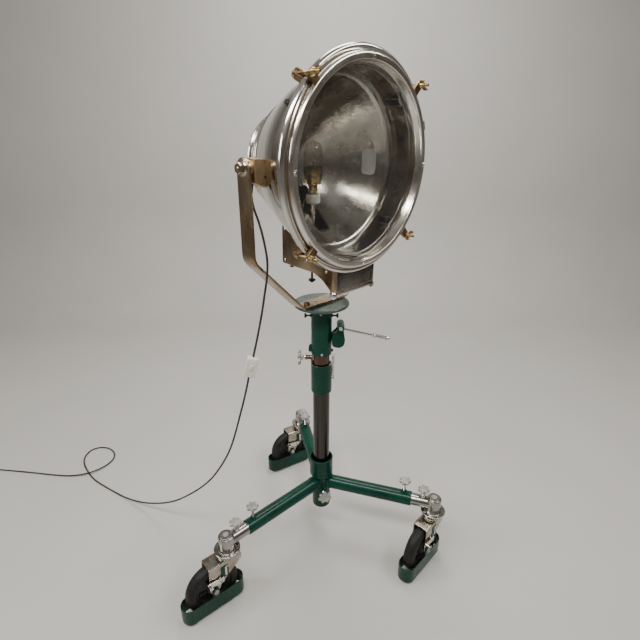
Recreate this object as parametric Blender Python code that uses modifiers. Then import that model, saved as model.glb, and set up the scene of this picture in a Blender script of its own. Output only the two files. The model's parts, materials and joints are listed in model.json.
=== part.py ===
"""Follow spot: a polished lamp house in a flat-bar yoke, on a rolling stand with a telescopic column.

The head aims along -Y. The stand's column is vertical, at COLUMN, and the floor is z = 0.
Each part hangs from an empty that stands on its joint's axis. Metres, +Z up.
"""

import math

import bmesh
import bpy
from mathutils import Matrix, Quaternion, Vector

GAP = 0.0003

# The column axis, placed so that the origin is the middle of the object's box on the floor.
COLUMN = (0.1700, 0.0038)

# Stand
PLATE_TOP = 1.084
PLATE_R = 0.1016
PLATE_T = 0.010
SPIGOT_R = 0.0340
SPIGOT_LENGTH = 0.055
MAST_R = 0.03875
MAST_WALL = 0.0035
MAST_BOTTOM = 0.8776
RISER_R = 0.0315
RISER_WALL = 0.002
RISER_BOTTOM = 0.45
RISER_TOP = 1.015
PAN_SCREW_Z = 1.030
COLUMN_R = 0.0334
COLUMN_WALL = 0.0015
COLUMN_BOTTOM = 0.165
COLLAR_R = 0.0403
COLLAR_BOTTOM = 0.7115
COLLAR_TOP = 0.835
HUB_R = 0.0486
HUB_TOP = 0.393
HUB_BOTTOM = 0.1445
HUB_STEM_R = 0.038
HUB_KNOB_AZIMUTH = 238.0
HUB_KNOB_Z = 0.232

LEG_AZIMUTHS = (178.0, 298.0, 58.0)
LEG_Z = 0.269
LEG_R = 0.0285
LEG_BORE_R = 0.0250
LEG_END = 0.385
STUB_R = 0.0245
STUB_START = 0.125
LEG_KNOB_AT = 0.354
LEG_KNOB_Z = 0.345
STUB_KNOB_AT = 0.431
STUB_KNOB_Z = 0.321
KNOB_R = 0.0245
BIG_KNOB_R = 0.030
KNOB_T = 0.012
KNOB_LOBES = 7
KNOB_STEM_R = 0.005

# Lifting gear, measured from the column axis along the azimuth that it stands on
GEAR_AZIMUTH = 315.0
DRUM_X, DRUM_Z = 0.0640, 0.9430
DRUM_R = 0.0140
CASE_HALF = 0.023
CASE_Y = -0.011
PUMP_X, PUMP_Y, PUMP_Z = 0.0706, -0.0470, 0.9985
PUMP_REST = math.radians(-13.0)
PUMP_LENGTH = 0.180
LOCK_AZIMUTH = 135.0
LOCK_Z = 0.8587
LOCK_BOSS_END = 0.060
LOCK_KNOB_AT = 0.078

# Casters
CASTER_AT = 0.4746
CASTER_TRAILS = (174.4, 181.7, 166.8)
TRAIL = 0.0741
WHEEL_R = 0.1016
WHEEL_HALF = 0.0235
AXLE_R = 0.006
BARREL_R = 0.029
BARREL_TOP = 0.296
FLANGE_R = 0.0482
FLANGE_Z = 0.232
FLANGE_T = 0.006
FORK_HALF = 0.030
FORK_T = 0.004
FORK_TOP = 0.213
SKIRT_HALF = 0.0342
SKIRT_LENGTH = 0.2466
SKIRT_WALL = 0.003
SKIRT_BOTTOM = 0.012
SKIRT_TOP = 0.078
BRAKE_AT = (0.052, 0.143)

# Yoke
TRUNNION_Z = 1.5584
YOKE_HALF = 0.3124
YOKE_BEND_Z = 1.2905
YOKE_FOOT = 0.1065
YOKE_WIDTH = 0.058
YOKE_T = 0.009
TRUNNION_R = 0.010

# Head, measured forwards along its axis from the trunnions, and outwards from that axis
HEAD_TILT = math.radians(1.3)
WALL = 0.003
BACK_S, BACK_R = -0.178, 0.155
WAIST_S, WAIST_R = 0.051, 0.2705
WAIST_STEPS = (0.030, 0.051, 0.070)
FRONT_S, FRONT_R = 0.152, 0.2785
FLANGE_BACK = 0.1550
HOUSE_SIDES = 36
ROLL_R = 0.3227
SEAT_S = 0.165
GLASS_T = 0.0045
GLASS_R = 0.2755
RING_BACK, RING_FRONT = 0.1705, 0.195
RING_OUTER, RING_INNER, RING_THROAT = 0.3030, 0.2807, 0.2715
MIRROR_FOCUS = 0.08
MIRROR_VERTEX = -0.12
MIRROR_RIM = 0.25
CLAMP_ANGLES = (45.0, 135.0, 225.0, 315.0)
CLAMP_PIVOT_S = 0.135
CLAMP_R = 0.329
CLAMP_ROD_R = 0.004
LAMP_S = -0.04
SLOT_SIZE = (0.056, 0.116, 0.29)
SLOT_AT = (0.0, 0.042, -0.205)
BOX_HALF = 0.092
BOX_WALL = 0.003
HANDLE_S, HANDLE_Z = 0.156, -0.389

# Lead, measured from the column axis
GLAND_X, GLAND_Y = -0.274, 0.015
GLAND_BOTTOM = -0.072
CORD_R = 0.0035
ON_FLOOR = 0.0039
DROP_ROUTE = (
    (-0.2740, 0.0166, 1.4860),
    (-0.2741, 0.0158, 1.4700),
    (-0.2745, 0.0080, 1.4450),
    (-0.2720, -0.0120, 1.4000),
    (-0.2705, -0.0280, 1.3500),
    (-0.2718, -0.0410, 1.2950),
    (-0.2775, -0.0430, 1.2450),
    (-0.2860, -0.0370, 1.1850),
    (-0.2945, -0.0290, 1.1230),
    (-0.3075, -0.0160, 1.0400),
)
SWITCH_CENTRE = (-0.3250, 0.0025, 0.9395)
SWITCH_UP = (0.1716, -0.1838, 0.9681)
SWITCH_HALF = 0.0375
LEAD_ROUTE = (
    (-0.3365, 0.0180, 0.8600),
    (-0.3480, 0.0450, 0.7600),
    (-0.3690, 0.1050, 0.5760),
    (-0.3930, 0.1880, 0.4250),
    (-0.4180, 0.2790, 0.3100),
    (-0.4550, 0.4100, 0.1850),
    (-0.4830, 0.5100, 0.1130),
    (-0.5140, 0.6190, 0.0560),
    (-0.5390, 0.7050, 0.0250),
    (-0.5640, 0.7900, 0.0080),
    (-0.5860, 0.8710, ON_FLOOR),
    (-0.6070, 0.9500, ON_FLOOR),
    (-0.6220, 1.0200, ON_FLOOR),
    (-0.6265, 1.0900, ON_FLOOR),
    (-0.6190, 1.1850, ON_FLOOR),
    (-0.5960, 1.2450, ON_FLOOR),
    (-0.5520, 1.2810, ON_FLOOR),
    (-0.5050, 1.2720, ON_FLOOR),
    (-0.4740, 1.2330, ON_FLOOR),
    (-0.4660, 1.1800, ON_FLOOR),
    (-0.4820, 1.1320, ON_FLOOR),
    (-0.5150, 1.1040, 0.0048),
    (-0.5560, 1.0890, 0.0080),
    (-0.5950, 1.0850, 0.0108),
    (-0.6300, 1.0920, 0.0115),
    (-0.6700, 1.1150, 0.0090),
    (-0.7150, 1.1580, 0.0050),
    (-0.7700, 1.2250, ON_FLOOR),
    (-0.8550, 1.3370, ON_FLOOR),
    (-0.9520, 1.4590, ON_FLOOR),
)
COIL_CENTRE = (-1.0358, 1.4951)
COIL_OUTER, COIL_INNER = 0.0455, 0.0315
COIL_HEIGHT = 0.0214
COIL_WAY = (-0.636, 0.772)
COIL_APPROACH = 0.025
PLUG_Z = 0.0142

TURN = 2.0 * math.pi


def direction(azimuth):
    """A level unit vector at this azimuth, in degrees from +X."""
    a = math.radians(azimuth)
    return Vector((math.cos(a), math.sin(a), 0.0))


# --- Scene, materials and placing ---


def clear_scene():
    for obj in list(bpy.data.objects):
        bpy.data.objects.remove(obj, do_unlink=True)


def collection(name):
    made = bpy.data.collections.new(name)
    bpy.context.scene.collection.children.link(made)
    return made


def material(name, colour, roughness, metallic=0.0, alpha=1.0):
    made = bpy.data.materials.new(name)
    made.use_nodes = True
    shader = made.node_tree.nodes["Principled BSDF"]
    shader.inputs["Base Color"].default_value = (*colour, 1.0)
    shader.inputs["Roughness"].default_value = roughness
    shader.inputs["Metallic"].default_value = metallic
    shader.inputs["Alpha"].default_value = alpha
    made.diffuse_color = (*colour, alpha)
    return made


def empty(name, parent=None, at=(0.0, 0.0, 0.0), turn=(0.0, 0.0, 0.0)):
    made = bpy.data.objects.new(name, None)
    PARTS.objects.link(made)
    made.empty_display_size = 0.05
    made.parent = parent
    made.location = at
    made.rotation_euler = turn
    return made


def add(obj, parent, at=(0.0, 0.0, 0.0), turn=(0.0, 0.0, 0.0), finish=None):
    """Puts a shape under its parent, with its material and smooth shading."""
    obj.parent = parent
    obj.location = at
    obj.rotation_euler = turn
    if obj.type == "MESH":
        obj.data.shade_smooth()
        obj.data.set_sharp_from_angle(angle=math.radians(35.0))
    if finish is not None:
        obj.data.materials.append(finish)
    return obj


def tool(obj, parent, at=(0.0, 0.0, 0.0), turn=(0.0, 0.0, 0.0)):
    """Makes a shape a helper for a Boolean."""
    PARTS.objects.unlink(obj)
    TOOLS.objects.link(obj)
    obj.parent = parent
    obj.location = at
    obj.rotation_euler = turn
    obj.hide_render = True
    obj.display_type = "WIRE"
    return obj


def combine(obj, others, operation):
    for other in others:
        modifier = obj.modifiers.new(operation.title(), "BOOLEAN")
        modifier.operation = operation
        modifier.solver = "EXACT"
        modifier.object = other
    return obj


def joined(obj, *others):
    return combine(obj, others, "UNION")


def cut(obj, *others):
    return combine(obj, others, "DIFFERENCE")


# --- Shapes ---


def from_bmesh(name, shape):
    mesh = bpy.data.meshes.new(name)
    shape.to_mesh(mesh)
    shape.free()
    made = bpy.data.objects.new(name, mesh)
    PARTS.objects.link(made)
    return made


def block(name, size, centre=(0.0, 0.0, 0.0)):
    shape = bmesh.new()
    bmesh.ops.create_cube(shape, size=1.0)
    bmesh.ops.scale(shape, vec=size, verts=shape.verts)
    bmesh.ops.translate(shape, vec=centre, verts=shape.verts)
    return from_bmesh(name, shape)


def rod(name, start, end, radius, sides=16, end_radius=None):
    """A round bar, or a cone frustum, between two points."""
    start, end = Vector(start), Vector(end)
    axis = end - start
    shape = bmesh.new()
    bmesh.ops.create_cone(
        shape,
        cap_ends=True,
        segments=sides,
        radius1=radius,
        radius2=radius if end_radius is None else end_radius,
        depth=axis.length,
    )
    turn = axis.to_track_quat("Z", "Y").to_matrix().to_4x4()
    bmesh.ops.transform(shape, matrix=Matrix.Translation((start + end) / 2) @ turn, verts=shape.verts)
    return from_bmesh(name, shape)


def turned(name, outline, sides=32):
    """A turned shape from (height, radius) points. An outline that touches the axis is left open there."""
    points = [(radius, height) for height, radius in outline]
    area = sum(a[0] * b[1] - b[0] * a[1] for a, b in zip(points, points[1:] + points[:1]))
    if area > 0.0:
        points.reverse()
    open_at_axis = any(radius < 1e-9 for radius, _ in points)
    if open_at_axis:
        while not (points[0][0] < 1e-9 and points[-1][0] < 1e-9):
            points.append(points.pop(0))
    shape = bmesh.new()
    verts = [shape.verts.new((radius, 0.0, height)) for radius, height in points]
    for a, b in zip(verts, verts[1:]):
        shape.edges.new((a, b))
    if not open_at_axis:
        shape.edges.new((verts[-1], verts[0]))
    made = from_bmesh(name, shape)
    screw = made.modifiers.new("Screw", "SCREW")
    screw.steps = screw.render_steps = sides
    screw.use_merge_vertices = True
    screw.merge_threshold = 1e-5
    screw.use_smooth_shade = True
    return made


def rounded(points, radius, steps=4):
    """A closed outline's corners, each replaced by an arc."""
    made = []
    for i, corner in enumerate(points):
        here = Vector(corner)
        before = (Vector(points[i - 1]) - here).normalized()
        after = (Vector(points[(i + 1) % len(points)]) - here).normalized()
        half = before.angle(after) / 2.0
        reach = radius / math.tan(half)
        centre = here + (before + after).normalized() * radius / math.sin(half)
        start, end = here + before * reach - centre, here + after * reach - centre
        sweep = start.angle(end)
        side = 1.0 if start.cross(end) > 0.0 else -1.0
        for k in range(steps + 1):
            turn = side * sweep * k / steps
            c, s = math.cos(turn), math.sin(turn)
            made.append((centre.x + start.x * c - start.y * s, centre.y + start.x * s + start.y * c))
    return made


def strip(points, thickness):
    """The outline of a bent flat bar whose middle line is points."""
    left, right = [], []
    for i, point in enumerate(points):
        here = Vector(point)
        into = (here - Vector(points[i - 1])).normalized() if i else None
        out = (Vector(points[i + 1]) - here).normalized() if i + 1 < len(points) else None
        along = ((into or out) + (out or into)).normalized()
        across = Vector((-along.y, along.x)) * thickness / 2.0
        across /= max(0.5, along.dot(out or into))
        left.append(tuple(here + across))
        right.append(tuple(here - across))
    return left + right[::-1]


def plate(name, outline, thickness):
    """A flat outline in XY, as thick as stated about z = 0, made from a filled curve."""
    curve = bpy.data.curves.new(name, "CURVE")
    curve.dimensions = "2D"
    curve.fill_mode = "BOTH"
    curve.extrude = thickness / 2.0
    spline = curve.splines.new("POLY")
    spline.points.add(len(outline) - 1)
    for point, (x, y) in zip(spline.points, outline):
        point.co = (x, y, 0.0, 1.0)
    spline.use_cyclic_u = True
    return as_mesh(name, curve)


def tube(name, points, radius, finish, parent):
    """A round cord through these points."""
    curve = bpy.data.curves.new(name, "CURVE")
    curve.dimensions = "3D"
    curve.bevel_depth = radius
    curve.bevel_resolution = 2
    curve.use_fill_caps = True
    spline = curve.splines.new("POLY")
    spline.points.add(len(points) - 1)
    for point, co in zip(spline.points, points):
        point.co = (*co, 1.0)
    made = bpy.data.objects.new(name, curve)
    PARTS.objects.link(made)
    return add(made, parent, finish=finish)


def as_mesh(name, curve):
    """A curve as a mesh with its caps welded on."""
    guide = bpy.data.objects.new(name + "_curve", curve)
    bpy.context.scene.collection.objects.link(guide)
    graph = bpy.context.evaluated_depsgraph_get()
    mesh = bpy.data.meshes.new_from_object(guide.evaluated_get(graph))
    bpy.data.objects.remove(guide, do_unlink=True)
    shape = bmesh.new()
    shape.from_mesh(mesh)
    bmesh.ops.remove_doubles(shape, verts=shape.verts, dist=1e-6)
    bmesh.ops.recalc_face_normals(shape, faces=shape.faces)
    bpy.data.meshes.remove(mesh)
    return from_bmesh(name, shape)


def smooth_route(points, spacing):
    """Points along a Catmull-Rom curve through the given ones, about this far apart."""
    points = [Vector(p) for p in points]
    padded = [2 * points[0] - points[1], *points, 2 * points[-1] - points[-2]]
    fine = []
    for a, b, c, d in zip(padded, padded[1:], padded[2:], padded[3:]):
        for k in range(24):
            t = k / 24.0
            fine.append(
                0.5
                * (
                    2 * b
                    + (c - a) * t
                    + (2 * a - 5 * b + 4 * c - d) * t * t
                    + (3 * b - a - 3 * c + d) * t**3
                )
            )
    fine.append(points[-1])
    lengths = [0.0]
    for a, b in zip(fine, fine[1:]):
        lengths.append(lengths[-1] + (b - a).length)
    count = max(2, round(lengths[-1] / spacing))
    route, i = [], 0
    for k in range(count + 1):
        want = lengths[-1] * k / count
        while i < len(fine) - 2 and lengths[i + 1] < want:
            i += 1
        share = (want - lengths[i]) / max(1e-12, lengths[i + 1] - lengths[i])
        route.append(fine[i].lerp(fine[i + 1], min(1.0, share)))
    return route


# --- Stand ---


def make_base(stand):
    """The hub and its three welded legs."""
    base = turned(
        "base_frame",
        [
            (HUB_BOTTOM, 0.0),
            (HUB_BOTTOM, HUB_STEM_R),
            (0.292, HUB_STEM_R),
            (0.306, HUB_R),
            (HUB_TOP, HUB_R),
            (HUB_TOP, HUB_R - 0.005),
            (0.345, HUB_R - 0.005),
            (0.335, COLUMN_R + 0.0006),
            (0.158, COLUMN_R + 0.0006),
            (0.158, 0.0),
        ],
        sides=28,
    )
    for azimuth in LEG_AZIMUTHS:
        way = direction(azimuth)
        level = Vector((0.0, 0.0, LEG_Z))
        leg = rod("leg", way * 0.0365 + level, way * LEG_END + level, LEG_R, 20)
        joined(base, tool(leg, stand))
        seat = way * LEG_KNOB_AT + level
        boss = rod("knob_boss", seat + Vector((0, 0, LEG_R - 0.004)), seat + Vector((0, 0, LEG_R + 0.008)), 0.011, 12)
        joined(base, tool(boss, stand))
    for azimuth in LEG_AZIMUTHS:
        way = direction(azimuth)
        level = Vector((0.0, 0.0, LEG_Z))
        bore = rod("leg_bore", way * 0.085 + level, way * (LEG_END + 0.01) + level, LEG_BORE_R, 20)
        hole = rod("knob_hole", way * LEG_KNOB_AT + level, way * LEG_KNOB_AT + level + Vector((0, 0, 0.06)), 0.0055, 12)
        cut(base, tool(bore, stand), tool(hole, stand))
    front = direction(HUB_KNOB_AZIMUTH)
    knob_level = Vector((0.0, 0.0, HUB_KNOB_Z))
    hub_hole = rod("hub_knob_hole", front * 0.030 + knob_level, front * 0.06 + knob_level, 0.0055, 12)
    cut(base, tool(hub_hole, stand))
    add(base, stand, finish=GREEN)


def make_column(stand):
    """The chrome column and the collar on its top, with the boss of the lift's clamp and the gear's guide bar."""
    inner = COLUMN_R - COLUMN_WALL
    column = turned(
        "column_tube",
        [
            (COLUMN_BOTTOM, COLUMN_R),
            (COLLAR_BOTTOM, COLUMN_R),
            (COLLAR_BOTTOM, COLLAR_R),
            (COLLAR_TOP, COLLAR_R),
            (COLLAR_TOP, inner),
            (COLUMN_BOTTOM, inner),
        ],
        sides=28,
    )
    gear_turn = (0.0, 0.0, math.radians(GEAR_AZIMUTH))
    lock_turn = (0.0, 0.0, math.radians(LOCK_AZIMUTH))
    bar = block("guide_bar", (0.012, 0.014, 0.107), (COLLAR_R + 0.0045, 0.0, 0.8185))
    lug = block("clamp_lug", (0.0083, 0.015, 0.036), (COLUMN_R + 0.0033, 0.0, 0.843))
    boss = rod("clamp_boss", (0.0330, 0, LOCK_Z), (LOCK_BOSS_END, 0, LOCK_Z), 0.0085, 16)
    hole = rod("clamp_hole", (0.02, 0, LOCK_Z), (0.08, 0, LOCK_Z), 0.0055, 12)
    joined(column, tool(bar, stand, turn=gear_turn))
    joined(column, tool(lug, stand, turn=lock_turn), tool(boss, stand, turn=lock_turn))
    cut(column, tool(hole, stand, turn=lock_turn))
    add(column, stand, finish=CHROME)


def star_outline(radius, lobes):
    """A wavy round outline: the radius rises and falls once for each lobe."""
    steps = 4 * lobes
    wave = 0.07 * radius
    made = []
    for k in range(steps):
        a = TURN * k / steps
        here = radius - wave + wave * math.cos(lobes * a)
        made.append((here * math.cos(a), here * math.sin(a)))
    return made


def make_knob(name, parent, at, turn, stem, radius=KNOB_R):
    """A lobed clamping knob. Its stem runs down from the local origin, the middle of the grip's underside."""
    knob = plate(name, star_outline(radius, KNOB_LOBES), KNOB_T)
    knob.data.transform(Matrix.Translation((0.0, 0.0, KNOB_T / 2.0)))
    collar = rod("knob_collar", (0, 0, 0.002), (0, 0, -0.008), 0.010, 12)
    shank = rod("knob_stem", (0, 0, 0.002), (0, 0, -stem), KNOB_STEM_R, 10)
    joined(knob, tool(collar, parent, at, turn), tool(shank, parent, at, turn))
    return add(knob, parent, at, turn, CAST)


def make_clamp_knobs(stand):
    """The knobs that hold the three legs, the column in its hub, and the mast at its height."""
    for k, azimuth in enumerate(LEG_AZIMUTHS, 1):
        at = (*(direction(azimuth) * LEG_KNOB_AT).xy, LEG_KNOB_Z)
        stem = LEG_KNOB_Z - (LEG_Z + STUB_R + 0.0008)
        make_knob(f"leg_knob_{k}", stand, at, (0.0, 0.0, 0.0), stem)
    for name, azimuth, level, out, reach in (
        ("hub_knob", HUB_KNOB_AZIMUTH, HUB_KNOB_Z, 0.064, COLUMN_R),
        ("lift_knob", LOCK_AZIMUTH, LOCK_Z, LOCK_KNOB_AT, RISER_R),
    ):
        at = (*(direction(azimuth) * out).xy, level)
        turn = (0.0, math.pi / 2.0, math.radians(azimuth))
        make_knob(name, stand, at, turn, out - (reach + 0.0009), BIG_KNOB_R)


def make_stub(k, leg):
    """The sliding end of a leg, with the barrel that holds a caster. Local X runs out along the leg."""
    barrel = turned(
        f"leg_end_{k}",
        [
            (FLANGE_Z, 0.0085),
            (FLANGE_Z, FLANGE_R),
            (FLANGE_Z + FLANGE_T, FLANGE_R),
            (FLANGE_Z + FLANGE_T, BARREL_R + 0.003),
            (FLANGE_Z + FLANGE_T + 0.005, BARREL_R),
            (BARREL_TOP, BARREL_R),
            (BARREL_TOP + 0.006, 0.0225),
            (BARREL_TOP + 0.006, 0.0),
            (0.283, 0.0),
            (0.283, 0.0085),
        ],
        sides=22,
    )
    knob_x = STUB_KNOB_AT - CASTER_AT
    bar = rod("stub_bar", (STUB_START - CASTER_AT, 0, LEG_Z), (-0.018, 0, LEG_Z), STUB_R, 20)
    hole = rod("stub_hole", (knob_x, 0, LEG_Z + 0.012), (knob_x, 0, LEG_Z + 0.04), 0.0055, 12)
    at = (CASTER_AT, 0.0, 0.0)
    joined(barrel, tool(bar, leg, at))
    cut(barrel, tool(hole, leg, at))
    add(barrel, leg, at, finish=CHROME)
    stem = STUB_KNOB_Z - (LEG_Z + 0.0128)
    make_knob(f"swivel_knob_{k}", leg, (STUB_KNOB_AT, 0.0, STUB_KNOB_Z), (0.0, 0.0, 0.4), stem)


def make_fork(k, swivel):
    """A bent-plate fork with its kingpin and axle. Local X runs from the swivel to the wheel."""
    side = [
        (-0.040, FORK_TOP),
        (0.092, FORK_TOP),
        (0.096, 0.112),
        (0.084, 0.084),
        (0.064, 0.084),
        (0.046, 0.120),
        (-0.040, 0.186),
    ]
    fork = plate(f"caster_fork_{k}", side, 2.0 * FORK_HALF)
    upright = (math.pi / 2.0, 0.0, 0.0)
    hollow = block("fork_gap", (0.30, 2.0 * (FORK_HALF - FORK_T), 0.30), (0.03, 0.0, FORK_TOP - FORK_T - 0.15))
    cut(fork, tool(hollow, swivel))
    race = turned(
        "swivel_race",
        [
            (FORK_TOP - 0.002, 0.0),
            (FORK_TOP - 0.002, 0.038),
            (FLANGE_Z - 0.004, 0.038),
            (FLANGE_Z - GAP, 0.034),
            (FLANGE_Z - GAP, 0.0080),
            (0.282, 0.0080),
            (0.282, 0.0),
        ],
        sides=16,
    )
    axle = turned(
        "axle",
        [
            (-0.043, 0.0),
            (-0.043, 0.010),
            (-0.0346, 0.010),
            (-0.0346, AXLE_R),
            (0.0346, AXLE_R),
            (0.0346, 0.010),
            (0.043, 0.010),
            (0.043, 0.0),
        ],
        sides=12,
    )
    joined(fork, tool(race, swivel), tool(axle, swivel, (TRAIL, 0.0, WHEEL_R), upright))
    add(fork, swivel, turn=upright, finish=CHROME)


def make_wheel(k, swivel):
    half = WHEEL_HALF
    side = [
        (half, 0.0065),
        (half, 0.020),
        (half - 0.009, 0.024),
        (half - 0.009, 0.066),
        (half - 0.001, 0.074),
        (half - 0.006, 0.095),
        (0.008, WHEEL_R),
    ]
    profile = [(-height, radius) for height, radius in reversed(side)] + side
    wheel = turned(f"wheel_{k}", profile, sides=24)
    add(wheel, swivel, (TRAIL, 0.0, WHEEL_R), (math.pi / 2.0, 0.0, 0.0), RUBBER)


def stadium(half_length, half_width, steps=8):
    """A long outline with round ends."""
    made = []
    for end in (1.0, -1.0):
        for k in range(steps + 1):
            a = -math.pi / 2.0 + math.pi * k / steps
            x = half_length - half_width + half_width * math.cos(a)
            made.append((end * x, end * half_width * math.sin(a)))
    return made


def make_skirt(k, swivel):
    """The cable guard round a wheel, hung on the axle by two ears."""
    height = SKIRT_TOP - SKIRT_BOTTOM
    at = (TRAIL, 0.0, (SKIRT_TOP + SKIRT_BOTTOM) / 2.0)
    skirt = plate(f"cable_guard_{k}", stadium(SKIRT_LENGTH / 2.0, SKIRT_HALF), height)
    inner = stadium(SKIRT_LENGTH / 2.0 - SKIRT_WALL, SKIRT_HALF - SKIRT_WALL)
    cut(skirt, tool(plate("guard_inside", inner, 2.0 * height), swivel, at))
    ear_low = SKIRT_TOP - 0.020
    for side in (1.0, -1.0):
        y = side * (SKIRT_HALF - SKIRT_WALL / 2.0)
        ear = block("guard_ear", (0.030, SKIRT_WALL - 0.0002, 0.118 - ear_low), (0.0, y, (0.118 + ear_low) / 2.0))
        joined(skirt, tool(ear, swivel, (TRAIL, 0.0, 0.0)))
    hole = rod("guard_hole", (0, -0.05, WHEEL_R), (0, 0.05, WHEEL_R), AXLE_R + 0.0006, 12)
    cut(skirt, tool(hole, swivel, (TRAIL, 0.0, 0.0)))
    add(skirt, swivel, at, finish=GREEN)


def make_brake(k, swivel):
    """The brake's toe lever, outside the fork's left plate."""
    pivot = (BRAKE_AT[0], 0.0, BRAKE_AT[1])
    arm = rounded([(-0.012, -0.011), (0.052, 0.004), (0.052, 0.018), (-0.012, 0.013)], 0.005, 2)
    lever = plate(f"brake_lever_{k}", arm, 0.004)
    upright = (math.pi / 2.0, 0.0, 0.0)
    at = (pivot[0], 0.037, pivot[2])
    boss = rod("brake_boss", (0, 0, -0.003), (0, 0, 0.037 - FORK_HALF - GAP), 0.008, 12)
    pedal = block("brake_pedal", (0.012, 0.005, 0.024), (0.046, 0.012, -0.010))
    joined(lever, tool(boss, swivel, at, upright), tool(pedal, swivel, at, upright))
    add(lever, swivel, at, upright, CAST)


def make_casters(stand):
    for k, (azimuth, trail) in enumerate(zip(LEG_AZIMUTHS, CASTER_TRAILS), 1):
        leg = empty(f"leg_axis_{k}", stand, turn=(0.0, 0.0, math.radians(azimuth)))
        make_stub(k, leg)
        spot = direction(azimuth) * CASTER_AT
        swivel = empty(f"swivel_axis_{k}", stand, spot, (0.0, 0.0, math.radians(trail)))
        make_fork(k, swivel)
        make_wheel(k, swivel)
        make_skirt(k, swivel)
        make_brake(k, swivel)


# --- Mast: what rises on the column ---


def make_mast(mast):
    """The mast's green sleeve and the chrome riser welded into it, which slides in the column."""
    inner = MAST_R - MAST_WALL
    bore = RISER_R - RISER_WALL
    top = PLATE_TOP - PLATE_T - GAP
    upper = turned(
        "mast_tube",
        [
            (MAST_BOTTOM, MAST_R),
            (top, MAST_R),
            (top, inner),
            (RISER_TOP, inner),
            (RISER_TOP, bore),
            (RISER_BOTTOM, bore),
            (RISER_BOTTOM, RISER_R),
            (RISER_TOP - 0.03, RISER_R),
            (RISER_TOP - 0.03, inner),
            (MAST_BOTTOM, inner),
        ],
        sides=28,
    )
    pawl = block("mast_lug", (0.012, 0.008, 0.033), (MAST_R + 0.005, 0.0, 0.8985))
    joined(upper, tool(pawl, mast, turn=(0.0, 0.0, math.radians(LOCK_AZIMUTH))))
    for azimuth in (GEAR_AZIMUTH, GEAR_AZIMUTH + 180.0):
        way = direction(azimuth)
        height = Vector((0.0, 0.0, PAN_SCREW_Z))
        cut(upper, tool(rod("screw_hole", way * 0.030 + height, way * 0.045 + height, 0.0056, 12), mast))
    add(upper, mast, finish=GREEN)
    for name, azimuth in (("pan_screw_1", GEAR_AZIMUTH + 180.0), ("pan_screw_2", GEAR_AZIMUTH)):
        screw = turned(
            name,
            [
                (-0.0235, 0.0),
                (-0.0235, 0.0035),
                (-0.004, 0.0035),
                (0.0, 0.009),
                (0.005, 0.009),
                (0.005, 0.0),
            ],
            sides=12,
        )
        at = (*(direction(azimuth) * (MAST_R + 0.0195)).xy, PAN_SCREW_Z)
        add(screw, mast, at, (0.0, math.pi / 2.0, math.radians(azimuth)), BLACK)


def make_lift_gear(mast):
    """The ratchet case beside the mast, its winding drum and its pumping handle. Local X points outwards."""
    gear = empty("gear_axis", mast, turn=(0.0, 0.0, math.radians(GEAR_AZIMUTH)))
    upright = (math.pi / 2.0, 0.0, 0.0)
    case_side = rounded([(0.034, 0.914), (0.084, 0.914), (0.087, 0.960), (0.080, 0.978), (0.034, 0.978)], 0.009, 2)
    case = plate("ratchet_case", case_side, 2.0 * CASE_HALF)
    centre = (0.0, CASE_Y, 0.0)
    head = rod("case_head", (PUMP_X, -0.034, PUMP_Z), (PUMP_X, 0.006, PUMP_Z), 0.014, 16)
    neck = block("case_neck", (0.020, 0.030, 0.04), (PUMP_X, -0.010, PUMP_Z - 0.025))
    joined(case, tool(head, gear), tool(neck, gear))
    shaft_hole = rod("pump_hole", (PUMP_X, -0.06, PUMP_Z), (PUMP_X, -0.006, PUMP_Z), 0.0056, 12)
    mast_space = rod("mast_space", (0, 0, 0.88), (0, 0, 1.05), MAST_R + GAP, 28)
    chamber = rod("drum_space", (DRUM_X, -0.029, DRUM_Z), (DRUM_X, 0.007, DRUM_Z), DRUM_R + 0.003, 20)
    strap_way = block("strap_way", (0.004, 0.022, 0.04), (DRUM_X - DRUM_R, CASE_Y, DRUM_Z - 0.02))
    cut(case, tool(shaft_hole, gear), tool(mast_space, gear), tool(chamber, gear), tool(strap_way, gear))
    add(case, gear, centre, upright, GREEN)
    drum = turned(
        "winding_drum",
        [
            (-0.0165, 0.0),
            (-0.0165, DRUM_R + 0.002),
            (-0.0145, DRUM_R + 0.002),
            (-0.0145, 0.010),
            (0.0145, 0.010),
            (0.0145, DRUM_R + 0.002),
            (0.0165, DRUM_R + 0.002),
            (0.0165, 0.0),
        ],
        sides=16,
    )
    add(drum, gear, (DRUM_X, CASE_Y, DRUM_Z), upright, CAST)
    way = Vector((math.cos(PUMP_REST), 0.0, math.sin(PUMP_REST)))
    pivot = Vector((PUMP_X, PUMP_Y, PUMP_Z))
    half_hub = Vector((0.0, 0.007, 0.0))
    handle = rod("lift_handle", pivot, pivot + way * PUMP_LENGTH, 0.0050, 10)
    grip = rod("handle_grip", pivot + way * (PUMP_LENGTH - 0.055), pivot + way * (PUMP_LENGTH + 0.002), 0.0075, 12)
    hub = rod("handle_hub", pivot - half_hub, pivot + half_hub, 0.013, 16)
    shaft = rod("handle_shaft", pivot, (PUMP_X, -0.008, PUMP_Z), 0.005, 12)
    handle.data.transform(Matrix.Translation(-pivot))
    joined(handle, tool(grip, gear), tool(hub, gear), tool(shaft, gear))
    add(handle, gear, pivot, finish=CHROME)


# --- Yoke ---


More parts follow.
